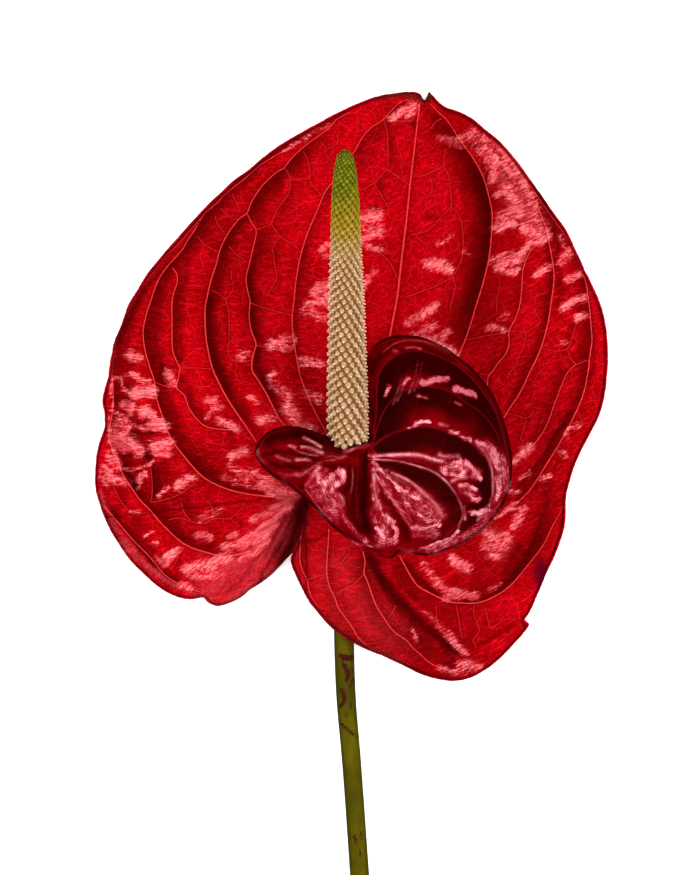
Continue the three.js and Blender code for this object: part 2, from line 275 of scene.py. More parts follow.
# Folds of the large spathe: height, or depth if negative, and reach, in millimetres, and course
LARGE_FOLDS = [
    (-1.6, 1.6, [(372, 553), (383, 575), (392, 592), (402, 605), (415, 618), (430, 635),
                 (445, 650), (455, 657)]),
    (1.0, 1.2, [(385, 562), (395, 585), (410, 600), (425, 612), (440, 622), (452, 632),
                (458, 645), (464, 653)]),
    (-0.9, 1.2, [(465, 655), (475, 650), (490, 643), (503, 635), (515, 628), (525, 622)]),
    (0.6, 1.0, [(412, 625), (425, 630), (440, 640), (450, 655)]),
    (-1.0, 1.1, [(115, 410), (125, 418), (132, 427), (130, 433), (120, 436)]),
    (0.8, 1.2, [(133, 427), (145, 430), (160, 431)]),
    (-0.9, 1.1, [(132, 433), (140, 445), (148, 458)]),
    (-0.8, 1.2, [(150, 462), (160, 460), (170, 455), (178, 450)]),
    (-0.5, 0.8, [(300, 498), (275, 512), (250, 523)]),
    (-0.5, 0.8, [(300, 500), (278, 520), (255, 540)]),
    (-0.5, 0.8, [(300, 502), (282, 530), (262, 555)]),
    (-0.5, 0.8, [(300, 504), (288, 535), (275, 560)]),
    (-0.4, 0.7, [(301, 506), (293, 535), (283, 562)]),
    (-0.7, 1.0, [(410, 118), (414, 121), (418, 125)]),
    (0.5, 1.0, [(385, 103), (400, 108), (413, 104)]),
]

# Shiny places of the large spathe, where highlights are painted and a real coat shines: half
# width in millimetres, strength and course on the plan
LARGE_GLINTS = [
    (1.0, 0.9, [(390, 118), (400, 113), (410, 106)]),
    (1.3, 0.8, [(408, 116), (414, 106)]),
    (1.0, 0.4, [(305, 138), (316, 130), (328, 124)]),
    (0.35, 0.8, [(283, 152), (292, 146), (302, 140)]),
    (1.3, 0.7, [(362, 217), (369, 213), (379, 214)]),
    (1.2, 0.9, [(368, 217), (379, 217)]),
    (1.6, 0.5, [(362, 226), (372, 229), (382, 232)]),
    (1.0, 0.95, [(362, 241), (370, 236), (377, 233)]),
    (0.8, 0.7, [(366, 247), (375, 247), (382, 249)]),
    (0.7, 0.6, [(366, 277), (374, 272)]),
    (0.9, 0.8, [(361, 293), (364, 285), (368, 280)]),
    (0.9, 0.8, [(321, 250), (330, 245)]),
    (0.8, 0.5, [(323, 258), (330, 257)]),
    (1.6, 0.8, [(315, 292), (322, 288), (330, 285)]),
    (1.6, 0.95, [(318, 302), (324, 300), (331, 299)]),
    (1.0, 0.6, [(306, 305), (314, 303)]),
    (1.3, 0.5, [(303, 311), (312, 314), (324, 318)]),
    (1.5, 0.85, [(271, 345), (280, 342), (291, 338)]),
    (0.8, 0.8, [(282, 349), (291, 348)]),
    (0.9, 0.8, [(242, 357), (249, 353)]),
    (1.3, 0.7, [(303, 362), (312, 361), (320, 365)]),
    (0.9, 0.8, [(269, 377), (274, 373)]),
    (1.4, 0.4, [(272, 385), (284, 391), (292, 397)]),
    (1.0, 0.85, [(208, 400), (216, 401)]),
    (0.9, 0.8, [(250, 397), (258, 401)]),
    (1.5, 0.6, [(306, 394), (318, 399)]),
    (1.2, 0.55, [(440, 138), (450, 140), (460, 146)]),
    (1.0, 0.6, [(458, 140), (466, 135), (474, 130)]),
    (0.5, 0.6, [(466, 140), (472, 136), (480, 136), (486, 140)]),
    (0.8, 0.6, [(478, 150), (484, 156), (488, 163)]),
    (1.0, 0.95, [(486, 149), (492, 154), (495, 164), (495, 174), (491, 182)]),
    (0.8, 0.75, [(499, 147), (505, 156), (508, 167), (513, 177)]),
    (1.6, 0.75, [(506, 150), (514, 162), (521, 174), (526, 186)]),
    (1.0, 0.95, [(498, 195), (503, 191), (509, 187)]),
    (1.4, 0.75, [(511, 196), (518, 203), (519, 214)]),
    (1.2, 0.7, [(529, 192), (533, 203), (537, 214)]),
    (1.4, 0.6, [(501, 217), (511, 211), (518, 205)]),
    (1.3, 1.0, [(497, 227), (505, 225), (514, 223)]),
    (1.1, 0.8, [(522, 227), (530, 231), (538, 235)]),
    (1.2, 0.7, [(538, 222), (542, 229), (545, 234)]),
    (1.0, 1.0, [(531, 243), (539, 241), (547, 237)]),
    (1.0, 0.8, [(520, 254), (526, 249), (531, 244)]),
    (3.6, 0.35, [(480, 140), (500, 168), (518, 200), (536, 230)]),
    (1.6, 0.85, [(499, 268), (507, 262), (516, 258)]),
    (0.9, 0.8, [(507, 273), (517, 269)]),
    (0.6, 0.55, [(489, 262), (500, 256), (512, 252)]),
    (0.9, 0.85, [(536, 275), (543, 270), (550, 266)]),
    (1.3, 0.65, [(561, 262), (567, 256), (571, 250)]),
    (0.8, 0.4, [(560, 237), (563, 246)]),
    (1.0, 0.9, [(568, 280), (574, 277), (580, 274)]),
    (1.0, 1.0, [(563, 307), (572, 302), (584, 297)]),
    (0.8, 0.95, [(577, 319), (585, 315)]),
    (0.5, 0.5, [(560, 343), (567, 344)]),
    (0.8, 0.7, [(486, 329), (495, 328), (504, 330)]),
    (0.8, 0.4, [(500, 319), (508, 314)]),
    (1.3, 0.95, [(427, 263), (438, 265), (450, 269)]),
    (0.9, 0.7, [(434, 260), (444, 262)]),
    (0.8, 0.95, [(446, 271), (453, 269)]),
    (0.6, 0.5, [(437, 244), (445, 240), (452, 236)]),
    (0.8, 0.35, [(464, 252), (468, 255)]),
    (1.2, 0.9, [(408, 322), (416, 318), (424, 313)]),
    (1.2, 0.9, [(423, 316), (430, 310), (435, 306)]),
    (1.3, 0.75, [(413, 336), (422, 332), (434, 326)]),
    (1.2, 0.95, [(423, 340), (434, 342), (444, 347), (456, 356)]),
    (0.9, 0.65, [(443, 338), (448, 331)]),
    (1.2, 0.75, [(128, 355), (138, 357)]),
    (0.5, 0.65, [(112, 380), (122, 378), (131, 374)]),
    (0.7, 0.85, [(131, 374), (139, 379), (149, 381)]),
    (0.5, 0.7, [(121, 381), (124, 389), (131, 396)]),
    (1.4, 1.0, [(134, 394), (143, 392), (153, 391)]),
    (1.1, 0.85, [(124, 405), (131, 406), (130, 412)]),
    (1.4, 0.9, [(142, 413), (149, 412), (153, 416)]),
    (1.1, 1.0, [(150, 425), (158, 423), (165, 427)]),
    (0.4, 0.9, [(112, 411), (121, 415), (129, 421), (138, 427), (148, 430), (159, 430)]),
    (0.4, 0.6, [
        (116, 420), (122, 416), (129, 421), (130, 428), (124, 432), (117, 430), (114, 424)]),
    (1.9, 0.8, [(117, 437), (126, 436), (129, 443), (138, 450)]),
    (1.5, 0.75, [(116, 440), (122, 448)]),
    (0.6, 0.85, [(108, 420), (110, 436), (114, 450), (120, 465)]),
    (0.3, 0.6, [(114, 352), (111, 370), (112, 390), (114, 408)]),
    (1.6, 0.95, [(153, 447), (162, 446), (169, 443)]),
    (0.9, 0.85, [(159, 455), (168, 454)]),
    (0.4, 0.8, [(112, 468), (124, 469), (140, 468), (148, 465), (153, 461)]),
    (1.0, 0.6, [(108, 455), (113, 462), (118, 468)]),
    (1.2, 0.6, [(104, 466), (108, 474), (115, 480), (126, 482)]),
    (1.6, 0.55, [(118, 423), (128, 425)]),
    (0.8, 0.55, [(100, 474), (106, 484)]),
    (0.9, 0.9, [(138, 479), (145, 475)]),
    (0.5, 0.6, [(137, 487), (141, 482)]),
    (1.2, 0.9, [(177, 487), (185, 480), (193, 478)]),
    (0.7, 0.9, [(159, 496), (167, 488)]),
    (0.5, 0.65, [(130, 511), (139, 512)]),
    (0.6, 0.5, [(146, 535), (151, 531)]),
    (0.5, 0.8, [(153, 543), (158, 543)]),
    (1.1, 0.95, [(166, 557), (173, 553), (178, 550)]),
    (0.7, 0.9, [(168, 563), (174, 557)]),
    (0.6, 0.7, [(156, 558), (165, 566)]),
    (1.2, 0.75, [(168, 373), (172, 382)]),
    (0.8, 0.6, [(208, 417), (212, 410), (223, 406)]),
    (1.0, 0.8, [(219, 421), (229, 424), (237, 429)]),
    (1.1, 0.8, [(232, 456), (240, 452), (247, 449)]),
    (1.1, 0.5, [(230, 466), (240, 472), (246, 478)]),
    (1.0, 0.75, [(240, 355), (249, 354)]),
    (1.1, 0.65, [(198, 536), (208, 537)]),
    (0.7, 0.75, [(229, 538), (237, 533)]),
    (1.2, 0.35, [(200, 520), (212, 514), (222, 509)]),
    (1.4, 0.9, [(262, 420), (272, 418)]),
    (1.8, 0.9, [(288, 407), (294, 415), (300, 422)]),
    (1.8, 0.9, [(300, 425), (312, 431), (320, 440)]),
    (1.2, 0.7, [(250, 472), (262, 477), (276, 485)]),
    (1.2, 0.85, [(262, 486), (276, 490), (292, 493)]),
    (0.8, 0.8, [(268, 494), (284, 496), (298, 495)]),
    (1.2, 0.4, [(226, 479), (244, 484), (262, 488)]),
    (0.9, 0.9, [(252, 521), (266, 513), (280, 505), (298, 496)]),
    (0.9, 1.0, [(240, 541), (255, 534), (270, 522), (289, 506)]),
    (1.0, 0.85, [(224, 547), (240, 546), (258, 540), (276, 524)]),
    (0.9, 0.8, [(240, 559), (254, 552), (268, 540)]),
    (1.4, 0.9, [(186, 570), (196, 567), (207, 564)]),
    (1.6, 0.9, [(209, 567), (219, 561), (228, 558)]),
    (1.0, 0.75, [(190, 577), (206, 578), (222, 576)]),
    (0.8, 0.85, [(180, 584), (191, 588)]),
    (1.0, 0.9, [(524, 510), (519, 519), (515, 527)]),
    (0.6, 0.6, [(506, 511), (516, 510)]),
    (1.6, 0.7, [(489, 535), (498, 537), (507, 538)]),
    (2.0, 0.6, [(488, 545), (496, 547), (504, 545)]),
    (1.0, 0.75, [(490, 556), (496, 557)]),
    (0.35, 1.0, [(494, 519), (506, 511), (517, 503)]),
    (1.2, 0.9, [(451, 558), (460, 564), (469, 568)]),
    (1.0, 0.5, [(424, 565), (431, 575), (440, 585)]),
    (1.2, 0.65, [(434, 582), (444, 590), (452, 597)]),
    (1.0, 0.85, [(446, 598), (460, 596), (476, 596)]),
    (0.8, 0.6, [(446, 590), (460, 592)]),
    (0.8, 0.5, [(490, 590), (500, 585)]),
    (0.9, 0.85, [(542, 478), (548, 476)]),
    (0.9, 0.5, [(565, 434), (573, 427), (580, 424)]),
    (0.7, 0.6, [(559, 451), (566, 456)]),
    (0.8, 0.65, [(522, 478), (529, 474)]),
    (0.8, 0.6, [(511, 493), (517, 491)]),
    (1.2, 0.85, [(513, 462), (520, 455), (529, 447)]),
    (0.8, 0.38, [(425, 612), (435, 622), (446, 634), (454, 644)]),
    (0.9, 0.8, [(449, 634), (457, 646), (467, 653)]),
    (1.3, 0.6, [(461, 663), (470, 665), (479, 668)]),
    (0.8, 0.5, [(440, 668), (452, 672), (466, 672)]),
    (0.5, 0.55, [(412, 630), (416, 641)]),
]
# Silky places of the large spathe, with an even painted sheen under a real coat, in the same way
LARGE_SATIN = [
    (4.4, 0.8, [(212, 580), (240, 572), (262, 553), (280, 526)]),
    (2.2, 1.0, [(226, 570), (244, 562), (260, 547), (276, 522)]),
    (2.0, 0.6, [(268, 520), (284, 508), (298, 498)]),
    (3.2, 0.5, [(212, 592), (232, 592), (252, 582), (266, 568)]),
    (0.7, 0.9, [(124, 542), (140, 560), (157, 574), (176, 585), (197, 591)]),
    (0.5, 0.6, [(100, 492), (108, 512), (120, 534)]),
    (8.0, 0.14, [(334, 572), (354, 604), (388, 634)]),
    (1.6, 0.5, [(488, 532), (504, 542), (500, 552)]),
    (2.4, 0.4, [(500, 168), (518, 196), (534, 226)]),
]
# Very dark places of the large spathe, where shade is painted, in the same way
LARGE_SHADES = [
    (2.0, 1.0, [(303, 504), (298, 522), (291, 542), (282, 560)]),
    (0.8, 0.9, [(293, 516), (284, 536), (274, 556)]),
    (0.5, 0.8, [(288, 514), (276, 534), (264, 556)]),
    (0.6, 0.85, [(112, 512), (126, 530), (140, 548), (156, 566), (176, 582)]),
    (0.35, 0.7, [(104, 512), (118, 534), (134, 554), (150, 570), (172, 586), (200, 594)]),
    (0.5, 0.7, [(240, 181), (262, 164), (285, 148), (312, 132), (345, 114)]),
    (0.4, 0.6, [(119, 345), (130, 318), (146, 290), (168, 262), (192, 236)]),
    (0.5, 0.6, [(582, 278), (588, 300), (593, 330), (593, 358), (589, 385)]),
    (1.8, 0.5, [(476, 176), (484, 196), (487, 222), (484, 250), (477, 280), (469, 306)]),
    (0.4, 0.8, [(467, 144), (474, 147), (481, 143)]),
    (0.3, 0.8, [(498, 153), (501, 163), (505, 173), (510, 180)]),
    (0.3, 0.8, [(482, 164), (487, 173), (487, 182)]),
    (1.2, 0.7, [(537, 186), (546, 208), (553, 232), (558, 252)]),
    (1.0, 0.5, [(555, 256), (560, 276), (560, 300)]),
    (0.3, 0.9, [(124, 384), (129, 390), (136, 389)]),
    (0.4, 0.95, [(127, 416), (136, 423), (146, 427), (155, 426)]),
    (0.8, 0.98, [(131, 430), (136, 441), (143, 451), (152, 461)]),
    (0.5, 0.7, [(132, 431), (144, 434), (158, 434)]),
    (0.7, 0.6, [(120, 456), (132, 456), (143, 457)]),
    (1.0, 0.9, [(124, 466), (130, 476), (137, 489)]),
    (0.7, 0.95, [(153, 464), (154, 480), (155, 497)]),
    (1.2, 0.6, [(157, 468), (158, 490)]),
    (0.6, 0.6, [(116, 398), (122, 400), (134, 399)]),
    (0.6, 0.6, [(163, 384), (161, 374), (162, 362)]),
    (0.9, 0.6, [(249, 276), (249, 288), (252, 299)]),
    (0.9, 0.6, [(252, 307), (252, 320), (256, 334)]),
    (0.9, 0.6, [(256, 350), (257, 364), (264, 380), (272, 396)]),
    (1.5, 0.55, [(210, 300), (209, 325), (213, 350), (219, 370), (229, 390)]),
    (0.6, 0.5, [(267, 250), (273, 256)]),
    (0.5, 0.6, [(227, 312), (226, 326), (229, 340)]),
    (0.6, 0.75, [(370, 209), (378, 208)]),
    (0.7, 0.6, [(426, 217), (435, 218)]),
    (0.5, 0.7, [(410, 118), (414, 126)]),
    (1.7, 0.95, [(368, 556), (382, 578), (396, 597), (414, 616), (434, 634), (454, 650)]),
    (3.6, 0.4, [(372, 566), (392, 594), (418, 624)]),
    (0.45, 0.9, [(376, 560), (390, 586), (406, 606), (424, 626), (440, 645), (453, 661)]),
    (1.6, 0.5, [(410, 626), (420, 640), (434, 656), (452, 667)]),
    (0.5, 0.6, [(436, 640), (444, 656)]),
    (0.9, 0.6, [(407, 563), (419, 579), (436, 593)]),
    (1.2, 0.6, [(500, 588), (520, 566), (536, 536), (546, 502), (548, 482)]),
    (0.7, 0.65, [(570, 412), (554, 438), (537, 464), (519, 486)]),
    (0.4, 0.6, [(302, 543), (315, 540), (330, 532)]),
    (1.0, 0.5, [(505, 570), (520, 548)]),
    (9.0, 0.2, [(198, 476), (194, 504), (184, 528)]),
    (0.4, 0.8, [(299, 504), (284, 530), (273, 551), (260, 580), (248, 596)]),
    (0.3, 0.7, [(296, 503), (275, 530), (262, 550), (244, 575)]),
    (0.35, 0.7, [(296, 507), (279, 542), (267, 566)]),
    (0.3, 0.6, [(290, 506), (268, 530), (246, 552), (226, 564)]),
    (0.5, 0.5, [(250, 568), (236, 584), (226, 592)]),
]
LARGE_CRISPNESS = 2.5
SHINE_LIFT = 0.25  # how far the sheet swells at a shiny place

# Rim of the small spathe, as (x, y, z) in millimetres from the stem, clockwise from where its
# right lobe leaves the spadix
SMALL_RIM = [
    (5.6, 6.2, 19.4), (5.4, 11.2, 19.6), (4.8, 17.5, 20.6), (4.2, 22.5, 22.6),
    (4.2, 26.2, 25.4), (5.4, 28.8, 28.4), (7.6, 30.7, 31), (13.7, 32, 34), (21.2, 30.2, 35),
    (28.7, 25.2, 35), (35.5, 17.2, 34.5), (39.5, 6.2, 33.6), (40, -3.7, 32), (36.7, -11.7, 30),
    (30, -18, 28), (20, -22.2, 25), (12, -21.4, 23), (10, -23, 22), (5, -20.6, 22.5),
    (-2.5, -16.2, 23.5), (-9.5, -9.5, 24.5), (-15, -4.7, 25), (-20.5, -1.2, 24.5),
    (-23.4, 2.5, 23.5), (-22, 6.7, 22.5), (-17.5, 8.9, 22.4), (-10, 8.2, 23.4),
    (-5.6, 4.6, 25), (-3.7, 3, 25.8), (-1.2, 3, 26), (1.2, 3.8, 25.6), (3.4, 4.4, 23.6),
]
SMALL_CENTRE = (4.75, 1.5, 19)
BOWL_STEEPNESS = 2.4
BOWL_DIP = 1.6
STEP_SHADE = 8.0
THIN_GLINT = 0.5  # shiny lines up to this half width have no brushed look
SMALL_CRISPNESS = 3.0
TERRACES = 4  # so many of its veins, from the first, are edges of steps
SMALL_RAYS = 384
SMALL_RINGS = 120

SMALL_VEINS = [
    (0.7, 1.4, 0.20, 0.12, [
        (371, 445), (376, 415), (377, 390), (380, 372), (390, 360), (405, 352), (420, 351),
        (440, 357), (460, 368), (480, 388), (495, 412), (504, 440), (507, 465), (503, 490),
        (495, 505), (480, 522)]),
    (1.1, 1.6, 0.24, 0.12, [
        (372, 446), (378, 425), (388, 405), (400, 393), (415, 388), (432, 387), (450, 392),
        (465, 402), (480, 412), (492, 425), (500, 440)]),
    (1.3, 1.7, 0.28, 0.14, [
        (372, 447), (385, 437), (405, 430), (425, 427), (445, 431), (465, 440), (480, 450),
        (491, 465), (494, 485), (490, 505), (480, 520), (462, 533), (440, 543), (415, 552)]),
    (1.2, 1.7, 0.28, 0.14, [
        (371, 457), (395, 459), (415, 462), (430, 467), (445, 477), (455, 490), (462, 505),
        (463, 517), (455, 528), (445, 537)]),
    (1.0, 1.5, 0.24, 0.14, [
        (370, 458), (378, 472), (388, 490), (398, 505), (410, 520), (413, 535), (413, 548)]),
    (0.9, 1.2, 0.20, 0.12, [
        (369, 460), (373, 475), (374, 495), (378, 510), (388, 520)]),
    (0.9, 1.3, 0.20, 0.12, [
        (342, 508), (350, 525), (365, 540), (385, 549)]),
]
SMALL_CROSS_VEINS = [
    [(450, 482), (465, 476), (475, 480)],
    [(440, 431), (446, 412), (452, 394)],
    [(410, 428), (415, 410), (420, 389)],
    [(462, 505), (475, 500), (490, 498)],
    [(430, 467), (440, 452), (447, 432)],
    [(398, 505), (415, 500), (440, 495), (457, 495)],
]
SMALL_FOLDS = [
    (1.1, 3.6, [(383, 474), (402, 489), (420, 503), (434, 511)]),
    (0.8, 2.2, [(374, 480), (379, 505), (386, 528)]),
    (0.9, 2.0, [(447, 468), (461, 466)]),
    (0.8, 1.9, [(466, 487), (476, 493)]),
    (0.7, 1.7, [(469, 509), (480, 510)]),
    (1.0, 2.6, [(318, 482), (330, 478), (340, 474)]),
    (0.7, 2.0, [(326, 500), (337, 508)]),
    (0.7, 1.1, [(371, 453), (395, 453), (415, 453), (430, 458), (440, 463)]),
    (-2.2, 1.6, [(362, 462), (363, 485), (361, 510), (366, 535)]),
    (-0.8, 0.9, [(350, 462), (347, 478), (340, 495)]),
    (-0.8, 0.9, [(341, 466), (335, 485), (325, 498)]),
    (0.9, 1.2, [(330, 456), (318, 464), (300, 471), (285, 475)]),
    (-0.7, 1.0, [(330, 453), (310, 458), (285, 462), (268, 460)]),
    (-0.6, 0.9, [(329, 450), (308, 447), (285, 446), (268, 446)]),
    (-0.5, 0.8, [(327, 446), (305, 439), (285, 437)]),
    (0.5, 0.9, [(386, 440), (372, 400), (371, 375)]),
]

# Shiny places of the small spathe, where highlights are painted and a real coat shines, and very
# dark places, where shade is painted: half width, strength and course on the plan
SMALL_GLINTS = [
    (0.6, 0.9, [(386, 394), (389, 386)]),
    (0.6, 0.9, [(403, 384), (409, 379)]),
    (0.8, 1.0, [(424, 383), (434, 380), (446, 379)]),
    (0.8, 1.0, [(455, 389), (464, 391), (475, 396)]),
    (0.3, 0.7, [(418, 396), (427, 398)]),
    (0.3, 0.7, [(455, 402), (461, 405)]),
    (0.35, 0.8, [(394, 350), (397, 352)]),
    (0.3, 0.9, [(406, 348), (413, 347), (421, 349)]),
    (0.55, 0.95, [(410, 427), (418, 424), (428, 422)]),
    (0.55, 0.9, [(450, 431), (458, 433)]),
    (0.55, 0.9, [(462, 437), (471, 440)]),
    (0.35, 0.6, [(440, 424), (447, 426)]),
    (2.2, 0.5, [(486, 446), (500, 464), (504, 488)]),
    (1.4, 0.36, [(500, 496), (492, 512), (478, 528), (456, 542), (430, 552)]),
    (0.25, 0.7, [(383, 352), (396, 343), (412, 340), (430, 343), (450, 352), (472, 367)]),
    (0.2, 0.3, [(393, 404), (398, 390), (402, 377)]),
    (0.2, 0.3, [(397, 401), (403, 388), (407, 374)]),
    (0.2, 0.35, [(409, 393), (415, 377), (418, 361)]),
    (0.2, 0.3, [(414, 391), (420, 374), (422, 362)]),
    (0.8, 0.9, [(478, 442), (486, 446), (494, 451)]),
    (0.9, 0.8, [(496, 456), (499, 470)]),
    (0.6, 0.7, [(503, 463), (504, 477)]),
    (0.9, 0.75, [(499, 480), (500, 490), (497, 499)]),
    (0.45, 1.0, [(370, 457), (395, 455), (418, 455), (432, 459), (442, 461)]),
    (0.25, 0.9, [(372, 459), (398, 461), (418, 466), (436, 473), (448, 483)]),
    (0.2, 0.7, [(448, 483), (458, 498), (463, 514), (458, 528)]),
    (0.5, 0.8, [(440, 455), (449, 457), (458, 456)]),
    (1.8, 0.5, [(448, 468), (462, 466), (476, 474)]),
    (0.8, 0.9, [(443, 469), (452, 464), (461, 460)]),
    (0.7, 0.8, [(445, 473), (456, 475), (465, 471)]),
    (0.7, 0.85, [(466, 462), (473, 469), (481, 478)]),
    (0.35, 0.9, [(451, 482), (458, 478), (467, 477)]),
    (1.8, 0.45, [(464, 488), (474, 496)]),
    (0.7, 0.95, [(461, 485), (468, 486), (475, 490)]),
    (0.7, 0.85, [(465, 494), (474, 498), (480, 500)]),
    (0.3, 0.8, [(464, 507), (465, 519)]),
    (0.8, 0.9, [(471, 513), (480, 513), (489, 509)]),
    (0.3, 0.85, [(480, 448), (489, 460), (493, 480), (492, 498), (486, 512), (478, 520)]),
    (0.55, 0.9, [(420, 549), (433, 546), (447, 540), (458, 531)]),
    (0.5, 0.6, [(402, 552), (413, 551)]),
    (0.6, 0.78, [(372, 463), (384, 474), (396, 486), (409, 495), (421, 500)]),
    (0.25, 0.8, [(372, 468), (385, 489), (400, 511), (412, 530)]),
    (0.35, 0.8, [(392, 473), (404, 478), (416, 486), (424, 494)]),
    (3.2, 0.36, [(388, 480), (405, 494), (424, 504)]),
    (1.6, 0.4, [(382, 480), (392, 496), (404, 512)]),
    (0.7, 0.65, [(404, 504), (414, 512), (426, 519), (438, 521)]),
    (0.5, 0.7, [(420, 490), (430, 499), (438, 507), (442, 516)]),
    (3.2, 0.36, [(410, 512), (424, 514), (436, 512)]),
    (2.4, 0.36, [(418, 530), (432, 532)]),
    (0.6, 0.85, [(412, 528), (424, 527), (440, 525)]),
    (0.4, 0.5, [(414, 536), (430, 536)]),
    (0.4, 1.0, [(373, 468), (375, 486), (377, 502)]),
    (0.6, 0.8, [(377, 502), (384, 515), (391, 521)]),
    (2.8, 0.42, [(379, 514), (384, 527), (384, 539)]),
    (1.2, 0.42, [(374, 486), (377, 504)]),
    (0.7, 0.85, [(376, 528), (384, 536), (392, 541)]),
    (0.7, 0.8, [(394, 523), (397, 533), (395, 542)]),
    (2.2, 0.62, [(316, 477), (326, 483), (337, 478)]),
    (2.6, 0.6, [(320, 494), (331, 500), (334, 512)]),
    (0.2, 0.45, [(304, 474), (313, 467), (322, 461), (333, 460), (344, 456), (354, 450)]),
    (0.2, 0.35, [(320, 459), (332, 456), (342, 458), (350, 453)]),
    (0.15, 0.3, [(300, 470), (310, 464), (318, 461)]),
    (0.5, 1.0, [(306, 486), (312, 478), (319, 468)]),
    (0.8, 0.5, [(316, 482), (322, 476), (325, 470)]),
    (0.9, 1.0, [(337, 471), (342, 473), (342, 480), (337, 484)]),
    (0.6, 0.8, [(331, 474), (330, 482), (333, 492)]),
    (0.5, 0.85, [(312, 492), (321, 490), (330, 486)]),
    (0.5, 0.8, [(310, 487), (318, 484), (327, 481)]),
    (0.5, 0.6, [(314, 497), (321, 500), (325, 508)]),
    (0.6, 0.9, [(332, 500), (335, 506), (331, 511)]),
    (0.45, 0.7, [(339, 494), (342, 498), (343, 504)]),
    (0.4, 0.6, [(334, 516), (338, 524)]),
    (0.35, 1.0, [(304, 437), (312, 441), (321, 447)]),
    (0.4, 1.0, [(302, 447), (312, 449), (322, 453)]),
    (0.3, 0.7, [(289, 445), (296, 448)]),
    (0.15, 0.6, [(293, 448), (303, 453), (318, 456)]),
    (0.4, 0.95, [(297, 460), (304, 460), (311, 461)]),
    (0.3, 0.4, [(276, 456), (283, 459), (290, 461)]),
    (0.5, 0.5, [(256, 449), (258, 457), (266, 463)]),
    (0.4, 0.7, [(279, 473), (288, 475), (298, 474)]),
    (0.4, 0.8, [(298, 476), (303, 474), (307, 471)]),
    (0.35, 0.5, [(283, 478), (292, 476)]),
    (0.5, 0.85, [(284, 481), (293, 491), (304, 503), (316, 513)]),
    (0.25, 0.9, [(305, 489), (312, 498), (320, 509), (332, 521)]),
    (0.25, 0.7, [(319, 517), (335, 531), (352, 541), (372, 547)]),
    (1.0, 0.4, [(343, 518), (353, 530), (366, 541)]),
    (0.15, 0.3, [(358, 470), (356, 498), (357, 520)]),
    (0.15, 0.3, [(352, 468), (353, 480), (351, 492)]),
]
SMALL_SHADES = [
    (1.6, 1.0, [(366, 458), (364, 480), (363, 506), (367, 532)]),
    (0.8, 0.9, [(350, 466), (348, 482), (346, 500), (352, 522)]),
    (0.5, 0.7, [(326, 465), (338, 466), (350, 462)]),
    (0.25, 0.8, [(319, 484), (325, 488), (331, 486)]),
    (0.25, 0.8, [(322, 470), (321, 478), (316, 485)]),
    (0.25, 0.8, [(301, 486), (308, 495), (316, 505)]),
    (0.3, 0.8, [(322, 514), (340, 530), (356, 540), (374, 545)]),
    (1.7, 1.0, [(268, 440), (284, 436), (304, 435), (322, 443)]),
    (0.6, 0.9, [(264, 453), (280, 452), (296, 455), (314, 459)]),
    (0.4, 0.8, [(270, 463), (284, 466), (302, 468)]),
    (0.3, 0.9, [(300, 444), (310, 446), (325, 450)]),
    (1.4, 0.9, [(381, 480), (390, 500), (402, 520), (408, 536)]),
    (0.8, 0.7, [(371, 374), (379, 358), (392, 346)]),
    (0.9, 0.85, [(372, 442), (375, 418), (376, 392)]),
    (0.9, 0.8, [(400, 354), (416, 347), (434, 351), (452, 361)]),
    (1.3, 0.75, [(470, 371), (486, 391), (498, 417), (506, 442), (509, 466)]),
    (2.0, 0.8, [(432, 474), (444, 486), (452, 500)]),
    (1.6, 0.7, [(452, 506), (452, 520), (440, 532)]),
    (0.7, 0.9, [(450, 476), (460, 474), (466, 468)]),
    (0.8, 0.9, [(468, 510), (472, 506)]),
    (1.2, 1.0, [(484, 462), (486, 480), (482, 498)]),
    (0.8, 0.9, [(463, 507), (468, 515), (475, 519)]),
    (1.4, 0.8, [(357, 470), (355, 492), (354, 515), (360, 534)]),
]
# Lines round which the fine wrinkles of the small spathe run
SMALL_SWIRLS = [
    [(376, 466), (398, 487), (415, 500), (426, 509)],
    [(372, 470), (376, 500), (385, 530)],
    [(446, 468), (460, 466)],
    [(466, 486), (475, 493)],
    [(468, 509), (479, 511)],
    [(320, 480), (332, 500)],
    [(496, 450), (499, 490)],
]

# --------------------------------------------------------------------------- drawing helpers


def from_plan(squares):
    """Places on the plan, as millimetres from the stem."""
    squares = np.asarray(squares, float)
    return (squares - ROOT_SQUARE) * (SQUARE_MM, -SQUARE_MM)


LINE_STEP = 1.0


def smooth_line(points, step, closed=False):
    """A flowing line through the points, with a point about every step."""
    p = np.asarray(points, float)
    if closed:
        p = np.vstack([p[-1], p, p[0], p[1]])
    else:
        p = np.vstack([2 * p[0] - p[1], p, 2 * p[-1] - p[-2]])
    pieces = []
    for a, b, c, d in zip(p, p[1:], p[2:], p[3:]):
        gaps = [max(math.sqrt(np.linalg.norm(v)), 1e-6) for v in (b - a, c - b, d - c)]
        t0, t1, t2, t3 = np.cumsum([0.0, *gaps])
        count = max(1, round(np.linalg.norm(c - b) / step))
        t = np.linspace(t1, t2, count, endpoint=False)[:, None]
        ab = ((t1 - t) * a + (t - t0) * b) / (t1 - t0)
        bc = ((t2 - t) * b + (t - t1) * c) / (t2 - t1)
        cd = ((t3 - t) * c + (t - t2) * d) / (t3 - t2)
        abc = ((t2 - t) * ab + (t - t0) * bc) / (t2 - t0)
        bcd = ((t3 - t) * bc + (t - t1) * cd) / (t3 - t1)
        pieces.append(((t2 - t) * abc + (t - t1) * bcd) / (t2 - t1))
    if not closed:
        pieces.append(p[-2:-1])
    return np.vstack(pieces)


def drawn(course, step=LINE_STEP):
    """A flowing line along a course on the plan, in millimetres from the stem."""
    return smooth_line(from_plan(course), step)


